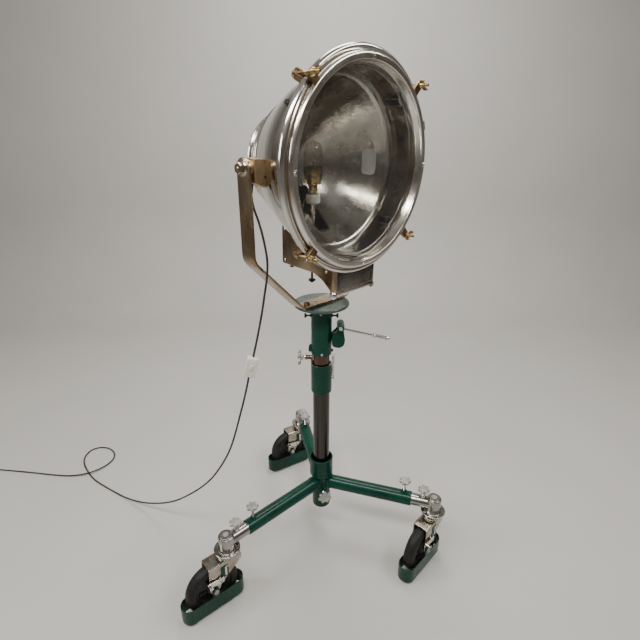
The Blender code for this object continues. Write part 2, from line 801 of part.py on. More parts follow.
def make_yoke(pan):
    middle = YOKE_HALF - YOKE_T / 2.0
    foot = PLATE_TOP + GAP + YOKE_T / 2.0
    half = [
        (-middle, TRUNNION_Z + 0.05),
        (-middle, YOKE_BEND_Z),
        (-YOKE_FOOT, foot),
    ]
    line = half + [(-x, z) for x, z in reversed(half)]
    bent = [line[0]]
    for before, corner, after in zip(line, line[1:], line[2:]):
        arc = rounded([before, corner, after], 0.016, 3)
        bent += arc[4:8]
    bent.append(line[-1])
    yoke = plate("yoke", strip(bent, YOKE_T), YOKE_WIDTH + 0.012)
    upright = (math.pi / 2.0, 0.0, 0.0)
    round_top = [
        (YOKE_WIDTH / 2.0 * math.cos(math.pi * k / 10), TRUNNION_Z + YOKE_WIDTH / 2.0 * math.sin(math.pi * k / 10))
        for k in range(11)
    ]
    edge = [*round_top, (-YOKE_WIDTH / 2.0, 1.0), (YOKE_WIDTH / 2.0, 1.0)]
    trim = tool(plate("yoke_trim", edge, 0.8), pan, turn=(math.pi / 2.0, 0.0, math.pi / 2.0))
    combine(yoke, [trim], "INTERSECT")
    bore = rod("yoke_bore", (-0.4, 0, TRUNNION_Z), (0.4, 0, TRUNNION_Z), TRUNNION_R + 0.0004, 16)
    cut(yoke, tool(bore, pan))
    add(yoke, pan, turn=upright, finish=STEEL)
    disc = turned(
        "top_plate",
        [
            (PLATE_TOP, 0.0),
            (PLATE_TOP, PLATE_R - 0.0015),
            (PLATE_TOP - 0.0015, PLATE_R),
            (PLATE_TOP - PLATE_T, PLATE_R),
            (PLATE_TOP - PLATE_T, SPIGOT_R),
            (PLATE_TOP - PLATE_T - SPIGOT_LENGTH, SPIGOT_R),
            (PLATE_TOP - PLATE_T - SPIGOT_LENGTH, 0.0),
        ],
        sides=40,
    )
    add(disc, pan, finish=GREEN)


# --- Head ---

AHEAD = (math.pi / 2.0, 0.0, 0.0)  # turns a shape's own +Z to the head's aim, -Y


def body_radius(s):
    """The lamp house's outer radius at a distance s forwards of the trunnions."""
    if s < WAIST_S:
        share = (s - BACK_S) / (WAIST_S - BACK_S)
        return BACK_R + share * (WAIST_R - BACK_R)
    share = (s - WAIST_S) / (FRONT_S - WAIST_S)
    return WAIST_R + share * (FRONT_R - WAIST_R)


def body_outside():
    """The lamp house's outer line, back to front, with a soft waist."""
    soft = [(s, body_radius(s) - 0.0035 * math.exp(-(((s - WAIST_S) / 0.016) ** 2))) for s in WAIST_STEPS]
    return [(BACK_S, BACK_R), *soft, (FRONT_S, FRONT_R)]


def make_envelope(parent, spare=GAP):
    """The solid shape of the lamp house, a little larger, for cutting what is fitted against it."""
    outline = [(s, r + spare) for s, r in body_outside()]
    outline += [(FLANGE_BACK - spare, 0.2900), (FLANGE_BACK - spare, ROLL_R + spare), (0.25, ROLL_R + spare)]
    outline += [(0.25, 0.0), (BACK_S, 0.0)]
    return tool(turned("house_envelope", outline, HOUSE_SIDES), parent, turn=AHEAD)


def make_house(head):
    outside = body_outside()
    inside = [(s, r - WALL) for s, r in reversed(outside)]
    flange = [
        (FLANGE_BACK, 0.2900),
        (0.1570, 0.3170),
        (0.1660, ROLL_R),
        (0.1775, 0.3174),
        (0.1800, 0.3036 + GAP),
        (0.1700, 0.3036 + GAP),
        (0.1700, GLASS_R + 0.001),
        (SEAT_S, GLASS_R + 0.001),
        (SEAT_S, 0.2700),
        (FLANGE_BACK - 0.001, 0.2700),
    ]
    house = turned("lamp_house", outside + flange + inside, HOUSE_SIDES)
    for angle in CLAMP_ANGLES:
        turn = (0.0, math.radians(angle), 0.0)
        for side in (1.0, -1.0):
            ear = block("clamp_ear", (0.004, 0.034, 0.034), (side * 0.0075, -0.145, 0.321))
            joined(house, tool(ear, head, turn=turn))
        hole = rod("clamp_hole", (-0.02, -CLAMP_PIVOT_S, CLAMP_R), (0.02, -CLAMP_PIVOT_S, CLAMP_R), 0.0034, 10)
        cut(house, tool(hole, head, turn=turn))
    slot = block("post_slot", SLOT_SIZE, SLOT_AT)
    cut(house, tool(slot, head))
    add(house, head, turn=AHEAD, finish=POLISHED)
    cap = turned(
        "rear_cap",
        [
            (BACK_S - GAP, BACK_R - 0.004),
            (BACK_S - GAP, BACK_R + 0.001),
            (BACK_S - 0.004, BACK_R + 0.003),
            (BACK_S - 0.009, BACK_R + 0.001),
            (BACK_S - 0.013, BACK_R - 0.010),
            (BACK_S - 0.029, 0.115),
            (BACK_S - 0.039, 0.065),
            (BACK_S - 0.042, 0.0),
            (BACK_S - 0.039, 0.0),
            (BACK_S - 0.036, 0.064),
            (BACK_S - 0.026, 0.113),
            (BACK_S - 0.009, BACK_R - 0.013),
        ],
        sides=32,
    )
    add(cap, head, turn=AHEAD, finish=POLISHED)


def make_front(head):
    ring = turned(
        "door_ring",
        [
            (RING_BACK, RING_OUTER),
            (0.1850, RING_OUTER),
            (0.1920, 0.3000),
            (RING_FRONT, 0.2940),
            (RING_FRONT, RING_INNER),
            (0.1900, 0.2790),
            (RING_BACK, RING_THROAT),
        ],
        sides=HOUSE_SIDES,
    )
    for angle in CLAMP_ANGLES:
        turn = (0.0, math.radians(angle), 0.0)
        lug = block("ring_lug", (0.024, 0.012, 0.0365), (0.0, -0.1875, 0.31325))
        joined(ring, tool(lug, head, turn=turn))
        slot = block("lug_slot", (0.0094, 0.05, 0.03), (0.0, -0.19, 0.324 + 0.015))
        cut(ring, tool(slot, head, turn=turn))
    add(ring, head, turn=AHEAD, finish=POLISHED)
    back = SEAT_S + GAP
    front = [(back, 0.0), (back, GLASS_R), (back + GLASS_T, GLASS_R), (back + GLASS_T, 0.0)]
    add(turned("front_glass", front, 36), head, turn=AHEAD, finish=GLASS)


def make_clamps(head):
    """Four swing bolts with wing nuts, which hold the door ring shut."""
    for k, angle in enumerate(CLAMP_ANGLES, 1):
        turn = (0.0, math.radians(angle), 0.0)
        eye = rod(f"swing_bolt_{k}", (-0.005, -CLAMP_PIVOT_S, CLAMP_R), (0.005, -CLAMP_PIVOT_S, CLAMP_R), 0.008, 12)
        stem = rod("bolt_stem", (0, -CLAMP_PIVOT_S, CLAMP_R), (0, -0.222, CLAMP_R), CLAMP_ROD_R, 8)
        pin = rod("bolt_pin", (-0.011, -CLAMP_PIVOT_S, CLAMP_R), (0.011, -CLAMP_PIVOT_S, CLAMP_R), 0.003, 8)
        joined(eye, tool(stem, head, turn=turn), tool(pin, head, turn=turn))
        add(eye, head, turn=turn, finish=BRASS)
        nut = rod(f"wing_nut_{k}", (0, -0.1942, CLAMP_R), (0, -0.207, CLAMP_R), 0.0095, 12, 0.007)
        for side in (1.0, -1.0):
            wing = [(side * x, y) for x, y in ((0.004, 0.0), (0.018, -0.004), (0.019, -0.018), (0.007, -0.011))]
            shape = plate("wing", wing, 0.003)
            shape.data.transform(Matrix.Translation((0.0, -0.1960, CLAMP_R)))
            joined(nut, tool(shape, head, turn=turn))
        hole = rod("nut_hole", (0, -0.18, CLAMP_R), (0, -0.23, CLAMP_R), CLAMP_ROD_R + 0.0006, 8)
        cut(nut, tool(hole, head, turn=turn))
        add(nut, head, turn=turn, finish=BRASS)


def make_trunnions(head):
    """The brackets on the lamp house's sides and the bolts that hold them in the yoke."""
    for name, side in (("left", -1.0), ("right", 1.0)):
        outline = [(0.292, 0.026), (0.292, -0.040), (0.215, -0.066), (0.215, 0.026)]
        bracket = plate(f"trunnion_bracket_{name}", [(side * x, z) for x, z in outline], 0.060)
        boss = rod("bracket_boss", (side * 0.285, 0, 0), (side * (YOKE_HALF - YOKE_T - GAP), 0, 0), 0.024, 20)
        joined(bracket, tool(boss, head))
        if side < 0.0:
            gland = rod("gland", (GLAND_X, GLAND_Y, -0.035), (GLAND_X, GLAND_Y, GLAND_BOTTOM), 0.0085, 14, 0.0055)
            joined(bracket, tool(gland, head))
        bore = rod("bracket_bore", (side * 0.15, 0, 0), (side * 0.35, 0, 0), TRUNNION_R + 0.0004, 16)
        cut(bracket, tool(bore, head), make_envelope(head))
        add(bracket, head, turn=(math.pi / 2.0, 0.0, 0.0), finish=STEEL)
        outer = YOKE_HALF + GAP
        bolt = turned(
            f"trunnion_bolt_{name}",
            [
                (0.250, 0.0),
                (0.250, TRUNNION_R),
                (outer, TRUNNION_R),
                (outer, 0.023),
                (outer + 0.004, 0.023),
                (outer + 0.004, 0.017),
                (outer + 0.018, 0.017),
                (outer + 0.018, 0.0),
            ],
            sides=16,
        )
        add(bolt, head, turn=(0.0, side * math.pi / 2.0, 0.0), finish=STEEL)


def make_lamp(head):
    mirror_rim_s = MIRROR_VERTEX + MIRROR_RIM**2 / (4.0 * MIRROR_FOCUS)
    bowl = []
    for k in range(8):
        radius = MIRROR_RIM * k / 7
        bowl.append((MIRROR_VERTEX + radius**2 / (4.0 * MIRROR_FOCUS), radius))
    back = [(s - 0.0025, r) for s, r in reversed(bowl)]
    rim = [(mirror_rim_s, 0.2650), (mirror_rim_s - 0.003, 0.2650), (mirror_rim_s - 0.003, MIRROR_RIM)]
    mirror = turned("reflector", bowl + rim + back[1:], 32)
    slot = block("mirror_slot", SLOT_SIZE, SLOT_AT)
    cut(mirror, tool(slot, head))
    add(mirror, head, turn=AHEAD, finish=POLISHED)
    bulb = turned(
        "lamp",
        [
            (-0.098, 0.0),
            (-0.098, 0.016),
            (-0.066, 0.016),
            (-0.050, 0.024),
            (-0.020, 0.030),
            (0.040, 0.030),
            (0.062, 0.022),
            (0.070, 0.0),
        ],
        sides=16,
    )
    add(bulb, head, (0.0, -LAMP_S, 0.0), finish=GLASS)
    carriage = rod("lamp_carriage", (0, 0, -0.0985), (0, 0, -0.130), 0.024, 16)
    post = rod("lamp_post", (0, 0, -0.12), (0, 0, -0.322), 0.009, 12)
    foot = block("lamp_foot", (0.070, 0.044, 0.008), (0.0, 0.0, -0.3243))
    at = (0.0, -LAMP_S, 0.0)
    joined(carriage, tool(post, head, at), tool(foot, head, at))
    add(carriage, head, at, finish=CAST)
    screw = turned(
        "focus_knob",
        [
            (-0.3290, 0.0),
            (-0.3290, 0.004),
            (-0.3980, 0.004),
            (-0.4000, 0.0135),
            (-0.4050, 0.0135),
            (-0.4120, 0.0045),
            (-0.4120, 0.0),
        ],
        sides=14,
    )
    add(screw, head, at, finish=BLACK)


def make_lamp_box(head):
    """The deep tray under the lamp house, which holds the lamp's slide, with its aiming handle."""
    outline = [
        (-0.095, -0.170),
        (-0.095, -0.332),
        (0.062, -0.334),
        (0.104, -0.350),
        (0.140, -0.378),
        (0.143, -0.399),
        (0.168, -0.399),
        (0.168, -0.170),
    ]
    side = [(-s, z) for s, z in outline]
    sideways = (math.pi / 2.0, 0.0, math.pi / 2.0)
    box = plate("lamp_box", side, 2.0 * BOX_HALF)
    inner = [
        (-0.092, -0.10),
        (-0.092, -0.329),
        (0.061, -0.331),
        (0.103, -0.347),
        (0.137, -0.372),
        (0.165, -0.372),
        (0.165, -0.10),
    ]
    hollow = plate("box_inside", [(-s, z) for s, z in inner], 2.0 * (BOX_HALF - BOX_WALL))
    cut(box, tool(hollow, head, turn=sideways))
    under = block("under_front", (2.0 * (BOX_HALF - BOX_WALL), 0.10, 0.06), (0.0, -0.150, -0.375 - 0.03))
    handle_hole = rod("handle_hole", (-0.12, -HANDLE_S, HANDLE_Z), (0.12, -HANDLE_S, HANDLE_Z), 0.0075, 14)
    focus_slot = block("focus_slot", (0.010, 0.070, 0.05), (0.0, -LAMP_S, -0.335))
    cut(box, tool(under, head), tool(handle_hole, head), tool(focus_slot, head), make_envelope(head))
    add(box, head, turn=sideways, finish=STEEL)
    outer = BOX_HALF + GAP
    bar = turned(
        "aiming_handle",
        [
            (-outer - 0.008, 0.0),
            (-outer - 0.008, 0.0105),
            (-outer, 0.0105),
            (-outer, 0.0068),
            (outer, 0.0068),
            (outer, 0.0105),
            (outer + 0.008, 0.0105),
            (outer + 0.008, 0.0),
        ],
        sides=14,
    )
    add(bar, head, (0.0, -HANDLE_S, HANDLE_Z), (0.0, math.pi / 2.0, 0.0), CHROME)


# --- Lead ---


def make_switch(stand):
    up = Vector(SWITCH_UP).normalized()
    middle = Vector(SWITCH_CENTRE)
    turn = up.to_track_quat("Z", "Y") @ Quaternion((0.0, 0.0, 1.0), math.radians(-35.0))
    switch = block("cord_switch", (0.036, 0.024, 2.0 * SWITCH_HALF))
    edge = switch.modifiers.new("Bevel", "BEVEL")
    edge.width = 0.004
    edge.segments = 2
    add(switch, stand, middle, turn.to_euler(), IVORY)
    return middle + up * (SWITCH_HALF + GAP), middle - up * (SWITCH_HALF + GAP)


def make_plug(stand, back, heading):
    """A round plug on its side, its strain relief starting at back and its pins at the far end."""
    turn = (math.pi / 2.0, 0.0, heading - math.pi / 2.0)
    plug = turned(
        "cord_plug",
        [
            (0.0, 0.0),
            (0.0, 0.0045),
            (-0.022, 0.0065),
            (-0.028, 0.0125),
            (-0.050, 0.0138),
            (-0.054, 0.0138),
            (-0.054, 0.0),
        ],
        sides=16,
    )
    for side in (1.0, -1.0):
        pin = rod("plug_pin", (side * 0.0065, 0, -0.053), (side * 0.0065, 0, -0.073), 0.0024, 10)
        joined(plug, tool(pin, stand, back, turn))
    add(plug, stand, back, turn, BLACK)


def make_lead(stand):
    """The lead from the lamp house to its switch, on along the floor, its coil and its plug."""
    above, below = make_switch(stand)
    tube("cord_drop", smooth_route([*DROP_ROUTE, above], 0.026), CORD_R, BLACK, stand)
    way = Vector((*COIL_WAY, 0.0)).normalized()
    left = Vector((-way.y, way.x, 0.0))
    centre = Vector((*COIL_CENTRE, 0.0))
    outermost = COIL_OUTER - CORD_R
    arrival = centre - left * outermost - way * COIL_APPROACH
    arrival.z = ON_FLOOR
    tube("cord_lead", smooth_route([below, *LEAD_ROUTE, arrival], 0.042), CORD_R, BLACK, stand)
    low = 0.0002
    ring = [(low, COIL_INNER), (COIL_HEIGHT, COIL_INNER), (COIL_HEIGHT, COIL_OUTER), (low, COIL_OUTER)]
    add(turned("cord_coil", ring, 24), stand, centre, finish=BLACK)
    departure = centre + left * outermost - way * (COIL_APPROACH + 0.003)
    departure.z = PLUG_Z
    make_plug(stand, departure, math.atan2(-way.y, -way.x))


def main():
    stand = empty("stand", at=(*COLUMN, 0.0))
    make_base(stand)
    make_column(stand)
    make_clamp_knobs(stand)
    make_casters(stand)
    mast = empty("mast", stand)
    make_mast(mast)
    make_lift_gear(mast)
    pan = empty("pan_axis", mast)
    make_yoke(pan)
    head = empty("tilt_axis", pan, (0.0, 0.0, TRUNNION_Z), (HEAD_TILT, 0.0, 0.0))
    make_house(head)
    make_front(head)
    make_clamps(head)
    make_trunnions(head)
    make_lamp(head)
    make_lamp_box(head)
    make_lead(stand)


clear_scene()
PARTS = collection("Follow spot")
TOOLS = collection("Cutters")
TOOLS.hide_render = True
GREEN = material("green_paint", (0.01, 0.10, 0.07), 0.35)
CHROME = material("chrome", (0.75, 0.75, 0.76), 0.12, 1.0)
POLISHED = material("polished_aluminium", (0.80, 0.79, 0.77), 0.15, 1.0)
STEEL = material("plated_steel", (0.55, 0.50, 0.44), 0.25, 1.0)
CAST = material("cast_metal", (0.62, 0.62, 0.60), 0.45, 1.0)
BRASS = material("brass", (0.72, 0.55, 0.25), 0.3, 1.0)
RUBBER = material("black_rubber", (0.02, 0.02, 0.02), 0.6)
BLACK = material("black", (0.015, 0.015, 0.015), 0.5)
IVORY = material("ivory_plastic", (0.80, 0.78, 0.72), 0.4)
GLASS = material("clear_glass", (0.9, 0.95, 0.95), 0.02, 0.0, 0.3)
main()
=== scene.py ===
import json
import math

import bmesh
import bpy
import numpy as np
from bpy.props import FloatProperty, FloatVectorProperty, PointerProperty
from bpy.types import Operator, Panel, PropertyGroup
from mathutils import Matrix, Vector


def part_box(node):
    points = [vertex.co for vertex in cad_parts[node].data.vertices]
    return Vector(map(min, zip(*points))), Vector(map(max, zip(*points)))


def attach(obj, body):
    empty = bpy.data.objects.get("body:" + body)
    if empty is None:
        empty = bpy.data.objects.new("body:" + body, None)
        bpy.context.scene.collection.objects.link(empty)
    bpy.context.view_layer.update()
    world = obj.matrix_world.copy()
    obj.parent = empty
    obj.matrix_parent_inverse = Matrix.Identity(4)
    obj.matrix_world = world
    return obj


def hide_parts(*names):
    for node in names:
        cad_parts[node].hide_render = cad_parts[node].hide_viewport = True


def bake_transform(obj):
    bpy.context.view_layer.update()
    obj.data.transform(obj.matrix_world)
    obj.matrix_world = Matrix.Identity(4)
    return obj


bl_info = {
    "name": "Follow Spot",
    "version": (1, 0, 0),
    "blender": (4, 5, 0),
    "location": "View3D > Sidebar > Follow Spot",
    "description": "A polished stage lamp in its yoke, on a rolling stand with a telescopic column",
    "category": "Object",
}

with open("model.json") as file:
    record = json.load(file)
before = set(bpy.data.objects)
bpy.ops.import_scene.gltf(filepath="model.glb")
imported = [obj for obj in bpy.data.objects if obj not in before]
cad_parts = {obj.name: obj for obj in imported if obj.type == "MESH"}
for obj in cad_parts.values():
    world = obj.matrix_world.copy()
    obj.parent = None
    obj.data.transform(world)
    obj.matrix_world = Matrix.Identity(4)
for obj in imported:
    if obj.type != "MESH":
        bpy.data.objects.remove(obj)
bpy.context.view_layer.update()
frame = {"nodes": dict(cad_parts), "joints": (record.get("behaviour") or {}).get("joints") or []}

JOINTS = {joint["name"]: joint for joint in frame["joints"]}
TURN = 2.0 * np.pi
X, Y, Z = np.eye(3)


# --- Frames: 4 by 4 arrays that put a piece's own coordinates into the model ---


def joint_at(name):
    """Where a joint is at rest."""
    return np.array(JOINTS[name]["pos_m"])


def joint_axis(name):
    """The direction that a joint turns about or slides along."""
    return np.array(JOINTS[name]["axis"])


def unit(v):
    """The vectors, each divided by its length."""
    return v / np.linalg.norm(v, axis=-1, keepdims=True)


def placed(at, z=Z, x=X):
    """A frame at a point, its Z along z and its X as near x as it can be."""
    z = unit(np.asarray(z, float))
    x = np.asarray(x, float)
    x = Y if abs(z @ x) > 0.999 * np.linalg.norm(x) else x
    x = unit(x - z * (x @ z))
    made = np.eye(4)
    made[:3, 0], made[:3, 1], made[:3, 2], made[:3, 3] = x, np.cross(z, x), z, at
    return made


def inside(base, at, z=Z, x=X):
    """A frame stated in another frame's coordinates."""
    return base @ placed(at, z, x)


def mid(node):
    """The middle of a node's box."""
    low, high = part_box(node)
    return np.array((low + high) / 2)


AXIS = mid("top_plate") * (1, 1, 0)
STAND = placed(AXIS)
AIM = joint_axis("focus")
HEAD = placed(joint_at("tilt"), AIM, X)
PLATE_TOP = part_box("top_plate")[1].z


def level(azimuth):
    """A level unit vector at an azimuth in degrees from +X."""
    a = math.radians(azimuth)
    return np.array((math.cos(a), math.sin(a), 0.0))


# --- Surfaces ---


def soften(points, radius, steps=4, loop=True):
    """An outline whose corners are parabolas: (1-t)^2 a + 2t(1-t) corner + t^2 b, where a and b lie on
    the corner's two sides, radius away or at most 0.4 of the side. One more point on each side, a little
    further from the corner, keeps the flats flat."""
    p = np.asarray(points, float)
    before, after = np.roll(p, 1, 0) - p, np.roll(p, -1, 0) - p
    reach = np.broadcast_to(np.asarray(radius, float), len(p))

    def along(side, share):
        length = np.maximum(np.linalg.norm(side, axis=1), 1e-12)
        return (p + side * (share * np.minimum(reach / length, 0.4))[:, None])[:, None]

    t = np.linspace(0.0, 1.0, steps + 1)[None, :, None]
    a, b, c = along(before, 1.0), along(after, 1.0), p[:, None]
    made = (1 - t) ** 2 * a + 2 * t * (1 - t) * c + t**2 * b
    made = np.concatenate([along(before, 1.2), made, along(after, 1.2)], axis=1)
    if loop:
        return made.reshape(-1, p.shape[1])
    return np.concatenate([p[:1], made[1:-1].reshape(-1, p.shape[1]), p[-1:]])


def turned(profile, steps=96, lobes=0, depth=0.0):
    """A closed outline of (height, radius) points turned about Z. With lobes, the radius is multiplied by
    1 - depth (1 - cos(lobes angle)) / 2, in proportion to how far out the point lies."""
    h, r = np.asarray(profile, float).T
    a = np.arange(steps) * TURN / steps
    share = (r / r.max())[:, None] ** 2
    r = r[:, None] * (1 - share * depth * (1 - np.cos(lobes * a)) / 2)
    return np.stack([r * np.cos(a), r * np.sin(a), np.broadcast_to(h[:, None], r.shape)], -1), "torus"


def rod(start, end, radius, steps, edge=0.0):
    """A solid round bar along Z, from height start to height end."""
    outline = [(start, 0.0), (start, radius), (end, radius), (end, 0.0)]
    return turned(soften(outline, edge) if edge else outline, steps)


def sleeve(start, end, inner, outer, steps, edge=0.0):
    """A round tube along Z, from height start to height end."""
    outline = [(start, inner), (start, outer), (end, outer), (end, inner)]
    return turned(soften(outline, edge) if edge else outline, steps)


def slotted(profile, inside, half, steps=192, share=8):
    """A closed outline turned about Z, with a slot 2 half wide cut down its -Y side through the rows that
    are inside. The angle runs evenly from 0 to arcsin(half / r) in the slot, and evenly from there to pi."""
    h, r = np.asarray(profile, float).T
    p = np.linspace(-np.pi, np.pi, steps, endpoint=False)
    edge = share * TURN / steps
    slot = np.arcsin(half / np.maximum(r, 1.25 * half))[:, None]
    within = slot * np.abs(p) / edge
    beyond = slot + (np.pi - slot) * (np.abs(p) - edge) / (np.pi - edge)
    a = np.sign(p) * np.where(np.abs(p) <= edge * 1.0001, within, beyond) - np.pi / 2
    r = r[:, None]
    points = np.stack([r * np.cos(a), r * np.sin(a), np.broadcast_to(h[:, None], a.shape)], -1)
    middle = np.abs(p + np.pi / steps) < edge
    cut = (inside & np.roll(inside, -1))[:, None] & middle
    return points, "torus", cut


def outline_normals(p):
    """Outward unit normals of a closed outline in the plane, whichever way round it runs."""
    along = unit(np.roll(p, -1, 0) - np.roll(p, 1, 0) + 1e-15)
    area = np.sum(p[:, 0] * np.roll(p[:, 1], -1) - np.roll(p[:, 0], -1) * p[:, 1])
    return np.stack([along[:, 1], -along[:, 0]], -1) * np.sign(area)


def plate(outline, thickness, edge=0.0008, steps=3):
    """A flat outline in XY, thick about z = 0, its edges quarter rounds: the ring at angle a is the
    outline moved in by edge (1 - sin a) and down by edge (1 - cos a)."""
    p = np.asarray(outline, float)
    n = outline_normals(p)
    a = np.linspace(0.0, np.pi / 2, steps + 1)
    inset = edge * (1 - np.sin(a))
    height = thickness / 2 - edge * (1 - np.cos(a))
    inset = np.concatenate([inset, inset[::-1]])
    height = np.concatenate([height, -height[::-1]])
    flat = p[None] - n[None] * inset[:, None, None]
    return np.concatenate([flat, np.broadcast_to(height[:, None, None], (*flat.shape[:2], 1))], -1), "tube"


def box(size, edge=0.001, corner=0.002):
    """A block with rounded corners in plan and rounded edges, centred."""
    x, y = size[0] / 2, size[1] / 2
    return plate(soften([(-x, -y), (x, -y), (x, y), (-x, y)], corner), size[2], edge)


def swept(path, radius, side=Z, sides=18):
    """A round tube: circles square to the path's tangent, turned from the cross product of the tangent and
    a side."""
    path = np.asarray(path, float)
    t = unit(np.gradient(path, axis=0))
    u = unit(np.cross(t, side))
    v = np.cross(t, u)
    a = np.arange(sides) * TURN / sides
    r = np.broadcast_to(np.asarray(radius, float), len(path))[:, None, None]
    ring = np.cos(a)[None, :, None] * u[:, None] + np.sin(a)[None, :, None] * v[:, None]
    return path[:, None] + r * ring, "tube"


def bar(path, half_width, thickness, edge=0.0015):
    """A flat bar: a rounded rectangle, half_width wide along Y and thickness deep across the path,
    carried along a path in the XZ plane."""
    path = np.asarray(path, float)
    t = unit(np.gradient(path, axis=0))
    across = np.cross(t, Y)
    a = np.linspace(0, np.pi / 2, 4)
    corner = np.stack([np.cos(a), np.sin(a)], -1)
    turns = np.array([[[c, -s], [s, c]] for c, s in ((1, 0), (0, 1), (-1, 0), (0, -1))])
    arcs = np.einsum("kij,nj->kni", turns, corner)
    centres = np.sign(arcs.mean(1, keepdims=True))
    w = np.asarray(half_width, float)[:, None, None]
    span = np.maximum(w - edge, 0.0)
    y = centres[..., 0] * span + edge * arcs[..., 0].reshape(1, 4, 4)
    d = centres[..., 1] * (thickness / 2 - edge) + edge * arcs[..., 1].reshape(1, 4, 4)
    y = np.broadcast_to(y, (len(path), 4, 4)).reshape(len(path), -1)
    d = np.broadcast_to(d, (len(path), 4, 4)).reshape(len(path), -1)
    return path[:, None] + y[..., None] * Y + d[..., None] * across[:, None], "tube"


def parabola(vertex, focus, r):
    """Points (height, radius) of a paraboloid: height = vertex + radius^2 / (4 focus)."""
    return np.stack([vertex + r**2 / (4 * focus), r], -1)


def smooth_route(points, step):
    """A Catmull-Rom curve through the points, resampled by its length: each stretch is half of
    2b + (c-a)t + (2a-5b+4c-d)t^2 + (3b-a-3c+d)t^3."""
    p = np.asarray(points, float)
    p = np.concatenate([2 * p[:1] - p[1:2], p, 2 * p[-1:] - p[-2:-1]])
    a, b, c, d = p[:-3, None], p[1:-2, None], p[2:-1, None], p[3:, None]
    t = np.linspace(0, 1, 24, endpoint=False)[None, :, None]
    fine = 0.5 * (2 * b + (c - a) * t + (2 * a - 5 * b + 4 * c - d) * t**2 + (3 * b - a - 3 * c + d) * t**3)
    return resample(np.concatenate([fine.reshape(-1, 3), p[-2:-1]]), step)


def lengths(path):
    """How far along the path each of its points lies."""
    return np.concatenate([[0.0], np.cumsum(np.linalg.norm(np.diff(path, axis=0), axis=1))])


def resample(path, step):
    """The path's points again, evenly spaced by very nearly step."""
    s = lengths(path)
    want = np.linspace(0, s[-1], max(3, int(round(s[-1] / step)) + 1))
    return np.stack([np.interp(want, s, path[:, k]) for k in range(3)], -1)


# --- Making pieces ---


def build(name, surfaces, at, finish, smooth=40.0):
    """One mesh from one or more surfaces: each is a grid of points, the way its rings close, and for a
    slotted one the faces that are cut away."""
    verts, faces, first = [], [], 0
    for points, kind, *cut in surfaces:
        n, m = points.shape[:2]
        index = first + np.arange(n * m).reshape(n, m)
        if kind == "torus":
            index = np.concatenate([index, index[:1]])
        a, b = index[:-1], index[1:]
        quads = np.stack([a, np.roll(a, -1, 1), np.roll(b, -1, 1), b], -1).reshape(-1, 4)
        faces += (quads[~cut[0].reshape(-1)] if cut else quads).tolist()
        if kind == "tube":
            faces += [index[0, ::-1].tolist(), index[-1].tolist()]
        verts.append(points.reshape(-1, 3))
        first += n * m
    verts = np.concatenate(verts)
    verts = verts @ at[:3, :3].T + at[:3, 3]
    mesh = bpy.data.meshes.new(name)
    mesh.from_pydata(verts.tolist(), [], faces)
    shape = bmesh.new()
    shape.from_mesh(mesh)
    bmesh.ops.remove_doubles(shape, verts=shape.verts, dist=1e-6)
    bmesh.ops.dissolve_degenerate(shape, edges=shape.edges, dist=1e-7)
    rims = [edge for edge in shape.edges if edge.is_boundary]
    if rims:  # a slot through two walls leaves a rim in each, and a band of faces joins them
        bmesh.ops.bridge_loops(shape, edges=rims)
    bmesh.ops.recalc_face_normals(shape, faces=shape.faces)
    shape.to_mesh(mesh)
    shape.free()
    mesh.shade_smooth()
    mesh.set_sharp_from_angle(angle=math.radians(smooth))
    mesh.materials.append(FINISHES[finish])
    made = bpy.data.objects.new(name, mesh)
    bpy.context.scene.collection.objects.link(made)
    return made


def piece(name, surfaces, at, finish, body, replaces=(), smooth=40.0):
    """A finished piece that rides on a body and stands for the nodes it replaces."""
    if isinstance(surfaces, tuple):
        surfaces = [surfaces]
    made = build(name, surfaces, at, finish, smooth)
    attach(made, body)
    if replaces:
        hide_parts(*([replaces] if isinstance(replaces, str) else replaces))
    return made


def moved(surface, at, z=Z, x=X):
    """A surface put at another place in the same piece."""
    points, kind = surface
    m = placed(at, z, x)
    return points @ m[:3, :3].T + m[:3, 3], kind


def screw_head(radius, height):
    """A round head, domed, whose underside is z = 0."""
    r, h = radius, height
    return turned([(0, 0), (0, r), (h * 0.45, r), (h * 0.8, r * 0.75), (h, r * 0.3), (h, 0)], 24)


def hex_head(width, height):
    """A hexagon with its top corners turned down, whose underside is z = 0."""
    a = np.arange(6) * TURN / 6
    corners = np.stack([np.cos(a), np.sin(a)], -1) * width / math.sqrt(3)
    rows = [(1.0, 0.0), (1.0, height * 0.82), (0.86, height)]
    return np.stack([np.c_[corners * k, np.full(6, h)] for k, h in rows]), "tube"


def threads(start, end, radius, pitch):
    """A threaded rod's outline: the radius rises and falls by 12 percent once a pitch."""
    n = int(abs(end - start) / pitch) * 2
    h = np.linspace(start, end, n + 1)
    r = radius * (1 - 0.12 * (np.arange(n + 1) % 2))
    return np.concatenate([[(start, 0.0)], np.stack([h, r], -1), [(end, 0.0)]])


# --- Finishes ---

WEAR_BAND = 0.18


def settings():
    """The sizes and colours from the panel."""
    return bpy.context.scene.follow_spot


